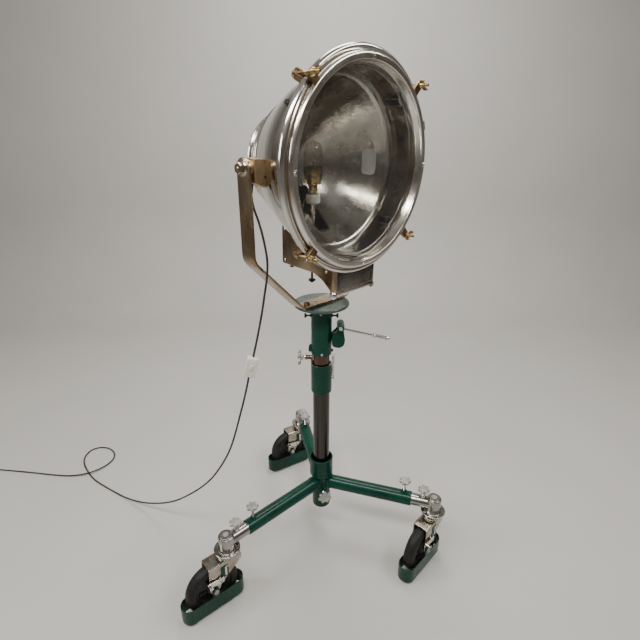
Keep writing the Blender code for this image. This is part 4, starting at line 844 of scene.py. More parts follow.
class FOLLOWSPOT_OT_optics(Operator):
    """Makes the reflector, the lamp and its sliding post"""

    bl_idname = "followspot.optics"
    bl_label = "Reflector and lamp"

    def execute(self, context):
        rows = ((0, 0.0800, 14), (0.0850, 0.2086, 20), (0.2150, 0.25, 6))
        bowl = parabola(-0.12, 0.08, np.concatenate([np.linspace(*row) for row in rows]))
        rim = [(bowl[-1, 0] + 0.0010, 0.2560), (bowl[-1, 0] + 0.0010, 0.2648), (bowl[-1, 0] - 0.0025, 0.2648),
               (bowl[-1, 0] - 0.0025, 0.2530)]
        back = bowl[::-1][1:] - (0.0025, 0.0)
        shell = np.concatenate([bowl, rim, back])
        inside = (shell[:, 1] > 0.0799) & (shell[:, 1] < 0.2087)
        piece("spun_reflector", slotted(shell, inside, SLOT_HALF), HEAD, "interior", "head",
              "reflector", 50.0)
        liner = np.array([(bowl[-1, 0] + 0.0012, 0.2655), (0.100, 0.2680), (0.150, 0.2715), (0.1535, 0.2690),
                          (0.152, 0.2670), (0.100, 0.2660), (bowl[-1, 0] + 0.0012, 0.2635)])
        piece("front_liner", turned(soften(liner, 0.001), 160), HEAD, "interior", "head")
        tab = box((0.030, 0.056, 0.0030), 0.0008, 0.004)
        pad = box((0.022, 0.044, 0.0030), 0.0008, 0.003)
        for k, angle in enumerate(CLAMP_ANGLES, 1):
            at = clamp_frame(angle)
            screw = moved(hex_head(0.010, 0.005), (0, 0.2575, 0.128), -Y, X)
            piece(f"reflector_tab_{k}", moved(tab, (0, 0.2610, 0.128), Y, X), at, "chrome", "head")
            piece(f"tab_pad_{k}", [moved(pad, (0, 0.2590, 0.128), Y, X), screw], at, "black", "head")
        piece("service_cover", self.cover(), HEAD, "cover", "head", (), 60.0)
        self.lamp()
        return {"FINISHED"}

    def cover(self):
        """A rounded cover on the bowl's wall: for each angle about X, a thin rectangle whose half height is
        0.024 (1 - x^6)^(1/4), set 1 to 2.4 mm off the paraboloid along its normal."""
        x = np.linspace(-1, 1, 33)
        half = 0.0240 * np.maximum(1 - x**6, 0.02) ** 0.25
        y = half[:, None] * np.array((-1, -1, -0.5, 0.5, 1, 1, 0.5, -0.5))
        off = np.array((0.0010, 0.0024, 0.0024, 0.0024, 0.0024, 0.0010, 0.0010, 0.0010))
        r = 0.2115 + 0.606 * y
        radius, height = r - 0.795 * off, -0.12 + r**2 / 0.32 + 0.606 * off
        a = math.radians(11.5) * x[:, None]
        return np.stack([radius * np.cos(a), radius * np.sin(a), height], -1), "tube"

    def lamp(self):
        """The lamp in its cap and collar, on the post that slides for focus. All are turned outlines but the
        wires, and the filament is a wave of five humps, (1 - cos(10 pi t)) / 2."""
        at = inside(HEAD, (0, 0, -0.04), Y, X)
        outer = soften([(-0.066, 0.0155), (-0.050, 0.0235), (-0.022, 0.0295), (0.020, 0.0298),
                        (0.045, 0.0285), (0.062, 0.0200), (0.0695, 0.0)], 0.012, 6, loop=False)
        inner = outer[::-1] * (1.0, 0.965) - (0.0008, 0.0)
        piece("lamp_globe", turned(np.concatenate([outer, inner]), 72), at, "bulb", "lamp_slide",
              "lamp", 60.0)
        ribs = [(h, 0.0158 - 0.0006 * (k % 2)) for k, h in enumerate(np.linspace(-0.096, -0.072, 13))]
        shell = [(-0.0975, 0.0), (-0.0975, 0.013), *ribs, (-0.066, 0.0152), (-0.066, 0.0)]
        piece("lamp_cap", turned(shell, 48), at, "brass", "lamp_slide")
        collar = soften([(-0.068, 0.0160), (-0.066, 0.0262), (-0.030, 0.0312), (-0.012, 0.0312),
                         (-0.012, 0.0304), (-0.030, 0.0304), (-0.064, 0.0254), (-0.066, 0.0160)], 0.001)
        piece("lamp_collar", turned(collar, 72), at, "brass", "lamp_slide")
        stem = turned([(-0.066, 0), (-0.066, 0.009), (-0.045, 0.006), (-0.030, 0.0035), (-0.030, 0)], 24)
        wires = [swept(np.array([(s * 0.002, 0, -0.031), (s * 0.006, 0, -0.015), (s * 0.010, 0, 0.006)]),
                       0.0006, Y, 8) for s in (1, -1)]
        t = np.linspace(0, 1, 240)
        zigzag = np.stack([-0.010 + 0.020 * t, 0 * t, 0.006 + 0.009 * (1 - np.cos(10 * TURN * t / 2)) / 2],
                          -1)
        piece("lamp_stem", [stem, *wires, swept(zigzag, 0.0005, Y, 6)], at, "porcelain", "lamp_slide")
        socket = soften([(-0.0987, 0.0), (-0.0987, 0.0215), (-0.1030, 0.0240), (-0.1250, 0.0240),
                         (-0.1300, 0.0200), (-0.1300, 0.0)], 0.0012)
        piece("lamp_socket", turned(socket, 64), at, "porcelain", "lamp_slide",
              "lamp_carriage")
        post = rod(-0.1295, -0.3205, 0.009, 40)
        foot = moved(box((0.070, 0.044, 0.0078), 0.0008, 0.003), (0, 0, -0.3243))
        piece("lamp_post", [post, foot], at, "caster", "lamp_slide")
        wire = smooth_route([(0.020, 0.004, -0.108), (0.030, 0.010, -0.120), (0.024, 0.020, -0.150),
                             (0.012, 0.020, -0.190), (0.010, 0.014, -0.235)], 0.004) * (-1, 1, 1)
        piece("lamp_wire", swept(wire, 0.0014, Y, 12), at, "yellow", "lamp_slide")
        stem = threads(-0.3292, -0.398, 0.0040, 0.0012)
        grip = turned(soften([(-0.3980, 0), (-0.3980, 0.0085), (-0.4000, 0.0135), (-0.4050, 0.0135),
                              (-0.4080, 0.0090), (-0.4120, 0.0050), (-0.4120, 0)], 0.0012), 84, 7, 0.22)
        piece("focus_thumb_screw", [turned(stem, 24), grip], at, "black", "focus_screw",
              "focus_knob")


BOX_HALF = 0.092
BOX_SIDE = ((-0.095, -0.332), (0.062, -0.334), (0.104, -0.350), (0.140, -0.378), (0.143, -0.399),
            (0.168, -0.399))


class FOLLOWSPOT_OT_lamp_box(Operator):
    """Makes the tray under the lamp house, with its aiming handle"""

    bl_idname = "followspot.lamp_box"
    bl_label = "Lamp box"

    def execute(self, context):
        s = np.linspace(-0.095, 0.153, 30)
        plate_half = BOX_HALF - 0.0015
        under = -np.sqrt((house_radius(s) + 0.0006) ** 2 - BOX_HALF**2)
        top = [*zip(s[::-1], under[::-1])]
        lip = -math.sqrt(RIM_IN**2 - BOX_HALF**2)
        low = soften([(-0.095, -0.250), *BOX_SIDE, (0.168, -0.350)], 0.007, 4, loop=False)
        outline = np.concatenate([low[1:-1], [(0.168, lip), (0.1538, lip)], top])
        sides = [moved(plate(outline, 0.003, 0.0008), (side * plate_half, 0, 0), -X, Z) for side in (1, -1)]
        path = soften([(-0.0935, -0.180), (-0.0935, -0.3305), (0.062, -0.3325), (0.1035, -0.3485),
                       (0.138, -0.3735), (0.1665, -0.3735)], 0.010, 5, loop=False)
        path3 = np.stack([path[:, 0], 0 * path[:, 0], path[:, 1]], -1)
        wrap = bar(path3, np.full(len(path3), BOX_HALF - 0.003), 0.003, 0.0006)
        wrap_at = moved(wrap, (0, 0, 0), Y, Z)
        piece("lamp_box_tray", [*sides, wrap_at], HEAD, "lamp_box", "head", "lamp_box", 35.0)
        u = np.linspace(-BOX_HALF + 0.003, BOX_HALF - 0.003, 25)
        rim = np.stack([u, -np.sqrt(RIM_IN**2 - u**2)], -1)
        face = np.concatenate([rim, soften([(0.089, -0.330), (0.089, -0.376), (-0.089, -0.376),
                                            (-0.089, -0.330)], 0.004)])
        frame_ring = soften([(-0.080, -0.336), (0.080, -0.336), (0.080, -0.369), (-0.080, -0.369)], 0.008, 5)
        ridge = np.concatenate([frame_ring, frame_ring[:1]])
        ridge3 = np.c_[ridge, np.full(len(ridge), 0.1683)]
        piece("lamp_box_front", [moved(plate(face, 0.003, 0.0006), (0, 0, 0.1663)),
                                 swept(ridge3, 0.0011, Z, 8)], HEAD, "panel", "head")
        self.handle()
        self.small_parts()
        return {"FINISHED"}

    def handle(self):
        """A round bar across the front, with a disc at each end: half an outline, mirrored and turned."""
        at = inside(HEAD, (0, -0.389, 0.156), X, Y)
        end = BOX_HALF + 0.0003
        half = [(end + 0.0082, 0.0), (end + 0.0082, 0.0055), (end + 0.0055, 0.0125), (end, 0.0130),
                (end, 0.0067)]
        profile = np.array([(-h, r) for h, r in half] + [(h, r) for h, r in half[::-1]])
        piece("chrome_handle", turned(soften(profile, 0.0007), 48), at, "chrome", "head",
              "aiming_handle")

    def small_parts(self):
        """The screws in the tray, and the stud under it."""
        screws = []
        for side in (1, -1):
            for s, v in ((-0.080, -0.210), (-0.080, -0.318), (0.030, -0.300), (0.120, -0.318)):
                screws.append(moved(screw_head(0.0045, 0.0026), (side * BOX_HALF, v, s), side * X))
        piece("lamp_box_screws", screws, HEAD, "chrome", "head")
        stud = turned(soften([(0, 0), (0, 0.004), (0.010, 0.004), (0.010, 0.0075), (0.014, 0.0075),
                              (0.014, 0)], 0.0006), 20)
        piece("lamp_box_stud", moved(stud, (-0.070, -0.3325, -0.070), -Y), HEAD, "black", "head")


class FOLLOWSPOT_OT_trunnions(Operator):
    """Makes the trunnion brackets, their bolts and the lead's gland"""

    bl_idname = "followspot.trunnions"
    bl_label = "Trunnions"

    def execute(self, context):
        for name, side in (("left", -1), ("right", 1)):
            v = np.linspace(-0.0655, 0.0255, 12)
            seat = np.sqrt((house_radius(0.0) + 0.006) ** 2 - v**2)
            web = [(0.292, 0.026), (0.292, -0.040), (0.240, -0.058)]
            outline = np.concatenate([soften(web, 0.004, loop=False), np.stack([seat, v], -1)[1:]])
            body = plate(outline * (side, 1), 0.059, 0.0025, 4)
            boss = sleeve(0.284, 0.3030, 0.0105, 0.0235, 48, 0.0015)
            piece(f"trunnion_casting_{name}", [body, moved(boss, (0, 0, 0), side * X)], HEAD, "bracket",
                  "head", f"trunnion_bracket_{name}")
            # A thin black disc on the bracket's face stands in for a screw hole: its black is painted shade
            # inside the hole.
            hole = rod(0.0, 0.0006, 0.0035, 20)
            piece(f"bracket_hole_shade_{name}", moved(hole, (side * 0.257, -0.024, 0.0292)), HEAD, "black",
                  "head")
            washer = [(0.3127, 0.0098), (0.3127, 0.0230), (0.3150, 0.0230), (0.3150, 0.0195),
                      (0.3172, 0.0195), (0.3172, 0.0098)]
            shaft = rod(0.251, 0.3125, 0.0098, 32)
            piece(f"trunnion_washers_{name}", [moved(turned(soften(washer, 0.0005), 48), (0, 0, 0), side * X),
                                               moved(shaft, (0, 0, 0), side * X)],
                  HEAD, "chrome", "head")
            piece(f"trunnion_nut_{name}", [moved(hex_head(0.029, 0.0125), (side * 0.3173, 0, 0), side * X),
                                           moved(screw_head(0.0080, 0.0040), (side * 0.3268, 0, 0),
                                                 side * X)], HEAD, "yoke", "head",
                  f"trunnion_bolt_{name}", 30.0)
        rings = [(-0.0390, 0.0), (-0.0390, 0.0082), (-0.0480, 0.0082), (-0.0480, 0.0070)]
        rings += [(-0.0500 - 0.0042 * k, 0.0070 - 0.0005 * k - 0.0007 * j) for k in range(5) for j in (0, 1)]
        rings += [(-0.0717, 0.0044), (-0.0717, 0.0)]
        gland = inside(HEAD, (-0.274, 0, -0.015), Y, X)
        piece("lead_gland", turned(np.array(rings), 32), gland, "black", "head")
        return {"FINISHED"}


# --- Yoke and turntable ---

YOKE_HALF = 0.3124
YOKE_T = 0.009
YOKE_WIDTH = 0.058
YOKE_BEND = 1.2905
YOKE_FOOT = 0.1065


class FOLLOWSPOT_OT_yoke(Operator):
    """Makes the flat-bar yoke and the round turntable plate that it is bolted to"""

    bl_idname = "followspot.yoke"
    bl_label = "Yoke"

    def execute(self, context):
        top = joint_at("tilt")[2]
        middle = YOKE_HALF - YOKE_T / 2
        foot = PLATE_TOP + 0.0003 + YOKE_T / 2
        rise = YOKE_WIDTH / 2
        end = top + rise * np.sin(np.linspace(np.pi / 2, 0, 16))
        arm = np.stack([np.full(16, -middle), end], -1)
        bends = soften([(-middle, top - 0.001), (-middle, YOKE_BEND), (-YOKE_FOOT, foot), (0.0, foot)],
                       (0, 0.020, 0.020, 0), 8, loop=False)
        half = np.concatenate([arm, bends])
        path = np.concatenate([half, half[::-1][1:] * (-1, 1)])
        path3 = np.stack([path[:, 0], 0 * path[:, 0], path[:, 1]], -1)
        over = np.clip((path[:, 1] - top) / rise, 0, 1)
        width = np.maximum(rise * np.sqrt(1 - over**2), 0.0016)
        piece("flat_bar_yoke", bar(path3, width, YOKE_T - 0.0004, 0.0014), STAND, "yoke", "turntable",
              "yoke", 35.0)
        strap = foot + YOKE_T / 2 - 0.0002
        for k, x in enumerate((-0.073, 0.073), 1):
            piece(f"yoke_bolt_{k}", moved(screw_head(0.0115, 0.0090), (x, 0, strap)), STAND, "bronze",
                  "turntable")
        pins = [moved(screw_head(0.0055, 0.0022), (x, y, strap)) for x, y in ((-0.028, 0.0), (0.030, 0.0))]
        piece("yoke_rivets", pins, STAND, "chrome", "turntable")
        p, r = PLATE_TOP, 0.1016
        disc = [(p, 0.0), (p, r - 0.0022), (p - 0.0020, r), (p - 0.0080, r), (p - 0.0100, r - 0.0015),
                (p - 0.0100, 0.0395), (p - 0.0103, 0.034), (p - 0.0648, 0.034), (p - 0.0648, 0.0)]
        piece("turntable_plate", turned(soften(disc, 0.0008), 160), STAND, "plate_green", "turntable",
              "top_plate", 35.0)
        return {"FINISHED"}


# --- Knobs ---

KNOB_STEM_R = 0.0049


def star_knob(name, at, body, stem, radius):
    """A seven-lobed clamping knob with a raised centre, a neck and a stem. The grip stands on z = 0."""
    r = radius
    grip = soften([(0.0, 0.0), (0.0, 0.80 * r), (0.0020, 0.96 * r), (0.0085, r), (0.0115, 0.93 * r),
                   (0.0120, 0.50 * r), (0.0112, 0.42 * r), (0.0120, 0.30 * r), (0.0120, 0.0)], 0.0012)
    neck = soften([(-0.0085, 0.0), (-0.0085, 0.0072), (-0.0060, 0.0098), (0.002, 0.0110), (0.002, 0.0)],
                  0.001)
    thread = turned(threads(-stem, 0.001, KNOB_STEM_R, 0.0014), 28)
    piece(f"{name}_grip", [turned(grip, 112, 7, 0.34), turned(neck, 40)], at, "cast", body,
          name, 35.0)
    piece(f"{name}_thread", thread, at, "chrome", body)


# --- Mast ---

LOCK_SIDE, GEAR_SIDE = 135.0, 315.0
MAST_R = 0.03875
MAST_BOTTOM = 0.8776
RISER_R = 0.0315
LOCK_Z = 0.8587
PAN_SCREW_Z = 1.030
HEAD_PIVOT = (0.0706, 0.9985)
LEVER_DROP = math.radians(13.0)


class FOLLOWSPOT_OT_mast(Operator):
    """Makes the mast, its pan screws and the lifting gear"""

    bl_idname = "followspot.mast"
    bl_label = "Mast"

    def execute(self, context):
        top = PLATE_TOP - 0.0103
        piece("mast_sleeve", sleeve(MAST_BOTTOM, top, MAST_R - 0.0035, MAST_R, 96, 0.0008), STAND, "green",
              "mast", "mast_tube")
        piece("mast_riser", sleeve(0.45, 1.0145, 0.0295, RISER_R, 96, 0.0006), STAND, "riser", "mast")
        lock = placed(AXIS, Z, level(LOCK_SIDE))
        lug = soften([(0.0375, 0.882), (0.0480, 0.8835), (0.0497, 0.893), (0.0465, 0.911), (0.0375, 0.915)],
                     0.003)
        piece("mast_lug", moved(plate(lug, 0.008, 0.001), (0, 0, 0), -Y, X), lock, "green", "mast")
        self.screws()
        for k, name in enumerate(("pan_screw_1", "pan_screw_2"), 1):
            way = joint_axis(f"{name}_turn")
            at = placed(AXIS + (0, 0, PAN_SCREW_Z), way, Z)
            shank = turned(threads(0.0350, 0.0545, 0.0035, 0.0012), 20)
            head = turned(soften([(0.0542, 0), (0.0542, 0.0042), (0.0575, 0.0088), (0.0630, 0.0088),
                                  (0.0630, 0)], 0.0008), 72, 18, 0.06)
            nut = moved(hex_head(0.0115, 0.0036), (0, 0, MAST_R))
            piece(f"pan_screw_detail_{k}", [shank, head], at, "black", f"pan_clamp_{k}",
                  name)
            piece(f"pan_screw_nut_{k}", nut, at, "black", "mast")
        self.gear()
        return {"FINISHED"}

    def screws(self):
        """The screw heads and the stop bolt round the mast."""
        heads = []
        for azimuth, height in ((222.0, 1.048), (228.0, 0.886), (330.0, 0.884)):
            way = level(azimuth)
            heads.append(moved(screw_head(0.0048, 0.0030), way * (MAST_R - 0.0003) + (0, 0, height), way))
        piece("mast_screws", heads, STAND, "cast", "mast")
        bolt = moved(screw_head(0.0060, 0.007), level(GEAR_SIDE) * (MAST_R - 0.0005) + (0, 0, 0.888),
                     level(GEAR_SIDE))
        piece("mast_stop", bolt, STAND, "black", "mast")

    def gear(self):
        """The ratchet case and its winder cover, flat outlines and turned ones, and the pumping lever on its
        hub, whose direction is (cos, -sin) of how far the lever droops."""
        side = placed(AXIS, joint_axis("pump_stroke"), level(GEAR_SIDE))
        shift = 0.011
        case = soften([(0.0385, 0.922), (0.052, 0.914), (0.070, 0.913), (0.084, 0.923), (0.088, 0.944),
                       (0.0835, 0.966), (0.080, 0.990), (0.061, 0.990), (0.052, 0.972), (0.0385, 0.962)],
                      0.012, 6)
        cheeks = [moved(plate(case, 0.0046, 0.0012), (0, 0, shift + s * 0.0205)) for s in (1, -1)]
        band = soften([(0.0388, 0.925), (0.053, 0.917), (0.069, 0.916), (0.0815, 0.925), (0.0852, 0.944),
                       (0.0800, 0.966), (0.077, 0.985), (0.064, 0.985), (0.055, 0.970), (0.0388, 0.959)],
                      0.012, 6)
        body = moved(plate(band, 0.038, 0.001), (0, 0, shift))
        ridge = soften([(0.040, 0.934), (0.086, 0.957), (0.0835, 0.963), (0.040, 0.941)], 0.002)
        rib = moved(plate(ridge, 0.0490, 0.001), (0, 0, shift))
        head = turned(soften([(-0.006, 0.006), (-0.006, 0.0140), (0.034, 0.0140), (0.034, 0.0095),
                              (0.031, 0.0090), (0.031, 0.006)], 0.001), 48)
        hub_rim = moved(sleeve(0.034, 0.0362, 0.0085, 0.0120, 48, 0.0004), (*HEAD_PIVOT, 0))
        piece("ratchet_rim", hub_rim, side, "chrome", "mast")
        winder = turned(soften([(0.0335, 0), (0.0335, 0.0160), (0.0362, 0.0150), (0.0362, 0)], 0.0008), 48)
        piece("winder_cover", moved(winder, (0.0640, 0.9430, -0.002)), side, "green", "mast")
        piece("ratchet_housing", [*cheeks, body, rib, moved(head, (*HEAD_PIVOT, 0))], side,
              "green", "mast", "ratchet_case", 35.0)
        way = np.array((math.cos(LEVER_DROP), -math.sin(LEVER_DROP), 0.0))
        pivot = np.array((*HEAD_PIVOT, 0.047))
        hub = turned(soften([(-0.0070, 0.0), (-0.0070, 0.0128), (-0.0045, 0.0130), (0.0045, 0.0130),
                             (0.0070, 0.0105), (0.0070, 0.0)], 0.0012), 48)
        shaft = rod(-0.039, -0.005, 0.005, 24)
        lever = turned(soften([(0.004, 0), (0.004, 0.0050), (0.130, 0.0046), (0.130, 0)], 0.0006), 32)
        grip = turned(soften([(0.124, 0), (0.124, 0.0066), (0.128, 0.0074), (0.172, 0.0074), (0.179, 0.0060),
                              (0.182, 0.0030), (0.182, 0)], 0.0012), 32)
        ring = sleeve(0.119, 0.123, 0.0040, 0.0090, 32, 0.0008)
        stops = moved(rod(-0.0085, 0.0085, 0.0022, 16, 0.0006), pivot + way * 0.121, np.cross(way, Z))
        cap = moved(turned(soften([(0.0068, 0), (0.0068, 0.0070), (0.0078, 0.0060), (0.0078, 0)], 0.0004),
                           40), pivot)
        along = [cap, *(moved(s, pivot, way) for s in (lever, grip, ring))]
        piece("pumping_lever", [*along, stops], side, "chrome", "pump_handle", "lift_handle")
        piece("pumping_hub", [moved(hub, pivot), moved(shaft, pivot)], side, "green", "pump_handle")


# --- Column, hub and legs ---

COLUMN_R = 0.0334
COLLAR_R = 0.0403
COLLAR = (0.7115, 0.835)
HUB = (0.1445, 0.393)
HUB_R = 0.0486
HUB_KNOB_Z = 0.232
LEG_Z = 0.269
LEG_R = 0.0285
LEG_END = 0.385
CASTER_AT = 0.4746
LEG_KNOB_AT, SWIVEL_KNOB_AT = 0.354, 0.431
HOLE_CIRCLE = 0.0408


def leg_ways():
    """The three legs' directions, from the joints that slide their ends."""
    return [joint_axis(f"leg_{k}_slide") for k in (1, 2, 3)]


class FOLLOWSPOT_OT_column(Operator):
    """Makes the column with its collar, and the knobs that clamp the mast and the hub"""

    bl_idname = "followspot.column"
    bl_label = "Column"

    def execute(self, context):
        piece("chrome_column", sleeve(0.165, 0.832, COLUMN_R - 0.0015, COLUMN_R, 112), STAND, "column",
              "stand", "column_tube")
        low, high = COLLAR
        collar = [(low, COLUMN_R + 0.0001), (low, COLLAR_R - 0.003), (low + 0.004, COLLAR_R),
                  (high, COLLAR_R), (high, COLUMN_R + 0.0012), (high - 0.006, COLUMN_R + 0.0001)]
        piece("green_collar", turned(soften(collar, 0.0012), 112), STAND, "green", "stand")
        lip = [(high - 0.0005, COLLAR_R - 0.0025), (high - 0.0005, COLLAR_R - 0.0002),
               (high + 0.0006, COLLAR_R - 0.0005), (high + 0.0006, COLLAR_R - 0.0022)]
        piece("collar_worn_edge", turned(lip, 112), STAND, "chrome", "stand")
        guide = placed(AXIS, Z, level(GEAR_SIDE))
        strip = moved(box((0.0028, 0.0135, 0.1065), 0.0008, 0.001), (COLLAR_R + 0.0080, 0, 0.8185))
        rack = [moved(box((0.0060, 0.0100, 0.0030), 0.0006, 0.001), (COLLAR_R + 0.0042, 0, z))
                for z in np.arange(0.769, 0.871, 0.0062)]
        spine = moved(box((0.0052, 0.0050, 0.1060), 0.0006, 0.001), (COLLAR_R + 0.0022, 0, 0.8185))
        piece("guide_rack", [strip, spine, *rack], guide, "chrome", "stand")
        lock = placed(AXIS + (0, 0, LOCK_Z), level(LOCK_SIDE), Z)
        boss = turned(soften([(0.0330, 0.0056), (0.0330, 0.0085), (0.0560, 0.0085), (0.0570, 0.0100),
                              (0.0600, 0.0100), (0.0600, 0.0056)], 0.0008), 48)
        tongue = moved(box((0.015, 0.0078, 0.036), 0.001, 0.002), (-0.0157, 0, 0.0367), X, Y)
        piece("lift_clamp_boss", [boss, tongue], lock, "bronze", "stand")
        washers = turned(soften([(0.0605, 0.0055), (0.0605, 0.0118), (0.0628, 0.0118), (0.0628, 0.0095),
                                 (0.0655, 0.0095), (0.0655, 0.0055)], 0.0004), 48)
        piece("lift_clamp_washers", washers, lock, "chrome", "lift_clamp")
        star_knob("lift_knob", inside(lock, (0, 0, 0.078)), "lift_clamp", 0.0456, 0.030)
        hub = placed(AXIS + (0, 0, HUB_KNOB_Z), joint_axis("hub_knob_turn"), Z)
        star_knob("hub_knob", inside(hub, (0, 0, 0.064)), "hub_clamp", 0.0297, 0.030)
        return {"FINISHED"}


class FOLLOWSPOT_OT_base(Operator):
    """Makes the hub, its three welded legs, and the sliding leg ends with their knobs"""

    bl_idname = "followspot.base"
    bl_label = "Base"

    def execute(self, context):
        low, high = HUB
        hub = [(low, 0.0), (low, 0.0350), (low + 0.003, 0.038), (0.288, 0.038), (0.298, 0.0415),
               (0.310, HUB_R), (high - 0.002, HUB_R), (high, HUB_R - 0.002), (high, HUB_R - 0.0055),
               (high - 0.040, HUB_R - 0.0055), (high - 0.055, COLUMN_R + 0.0008),
               (0.158, COLUMN_R + 0.0008), (0.158, 0.0)]
        piece("hub_casting", turned(soften(hub, 0.0015), 112), STAND, "green", "stand",
              "base_frame", 35.0)
        for k, way in enumerate(leg_ways(), 1):
            self.leg(k, way)
            self.leg_end(k, way)
        ring = turned(soften([(0.0375, 0.0058), (0.0375, 0.0110), (0.0410, 0.0100), (0.0410, 0.0058)],
                             0.0006), 32)
        piece("hub_knob_boss", ring, placed(AXIS + (0, 0, HUB_KNOB_Z), joint_axis("hub_knob_turn"), Z),
              "green", "stand")
        return {"FINISHED"}

    def leg(self, k, way):
        """A leg and its weld: a ring whose section grows and shrinks 23 times round, and whose height follows
        sin^2 of the angle, as a tube meets a round hub."""
        at = placed(AXIS + (0, 0, LEG_Z), way, Z)
        tube = soften([(0.030, 0.0), (0.030, LEG_R), (LEG_END, LEG_R), (LEG_END, 0.0252), (0.300, 0.0252),
                       (0.300, 0.0)], 0.0008)
        a = np.arange(96) * TURN / 96
        bulge = 0.0016 + 0.0006 * np.cos(23 * a)
        t = np.linspace(0, TURN, 17)[:-1, None]
        where = 0.0405 + 0.0085 * np.sin(a) ** 2
        r = LEG_R + 0.0004 + bulge * np.cos(t)
        weld = np.stack([r * np.cos(a), r * np.sin(a), where + bulge * np.sin(t)], -1), "torus"
        piece(f"leg_tube_{k}", [turned(tube, 80), weld], at, "green", "stand")
        boss = turned(soften([(0.0265, 0), (0.0265, 0.0130), (0.0300, 0.0110), (0.0365, 0.0105),
                              (0.0365, 0)], 0.0008), 40)
        piece(f"leg_knob_boss_{k}", boss, placed(AXIS + way * LEG_KNOB_AT + (0, 0, LEG_Z), Z, way),
              "green", "stand")
        knob = placed(joint_at(f"leg_knob_{k}_turn"), Z, way)
        star_knob(f"leg_knob_{k}", knob, f"leg_clamp_{k}", 0.0507, 0.0245)

    def leg_end(self, k, way):
        """The sliding tube, and the turned barrel that carries a caster."""
        body = f"leg_{k}"
        stub = sleeve(0.125, CASTER_AT - 0.016, 0.0225, 0.0245, 80)
        barrel = soften([(0.232, 0.0088), (0.232, 0.0470), (0.233, 0.0482), (0.237, 0.0482),
                         (0.238, 0.0470), (0.2385, 0.0335), (0.244, 0.0292), (0.294, 0.0290),
                         (0.2965, 0.0275), (0.2970, 0.0238), (0.3010, 0.0232), (0.3020, 0.0220),
                         (0.3020, 0.0), (0.2835, 0.0), (0.2835, 0.0088)], 0.0007)
        at = placed(AXIS + way * CASTER_AT, Z, way)
        piece(f"leg_end_barrel_{k}", [turned(barrel, 96)], at, "nickel", body, f"leg_end_{k}",
              35.0)
        piece(f"leg_end_tube_{k}", stub, placed(AXIS + (0, 0, LEG_Z), way, Z), "nickel", body)
        # Thin black discs on the flange's face stand in for its eight holes: their black is painted shade
        # inside the holes.
        a = (np.arange(8) + 0.5) * TURN / 8
        circle = HOLE_CIRCLE * np.stack([np.cos(a), np.sin(a)], -1)
        holes = [moved(rod(0.0, 0.0007, 0.0036, 20), (x, y, 0.2376)) for x, y in circle]
        piece(f"flange_hole_shades_{k}", holes, at, "black", body)
        nut = moved(hex_head(0.014, 0.0045), (0, 0, 0.3015))
        washer = moved(rod(0.0, 0.0012, 0.0115, 32), (0, 0, 0.3015))
        piece(f"barrel_nut_{k}", [nut, washer], at, "cast", body, (), 30.0)
        boss = turned(soften([(0.0225, 0), (0.0225, 0.0115), (0.0262, 0.0100), (0.0300, 0.0095),
                              (0.0300, 0)], 0.0007), 32)
        seat = placed(AXIS + way * SWIVEL_KNOB_AT + (0, 0, LEG_Z), Z, way)
        piece(f"swivel_knob_boss_{k}", boss, seat, "chrome", body)
        knob = placed(joint_at(f"swivel_knob_{k}_turn"), Z, way)
        star_knob(f"swivel_knob_{k}", knob, f"swivel_clamp_{k}", 0.0392, 0.0245)


# --- Casters ---

TRAIL = 0.0741
WHEEL_R = 0.1016
RIB_CIRCLE = 0.0425
FORK_TOP = 0.213
FORK_HALF = 0.030
FORK_T = 0.004


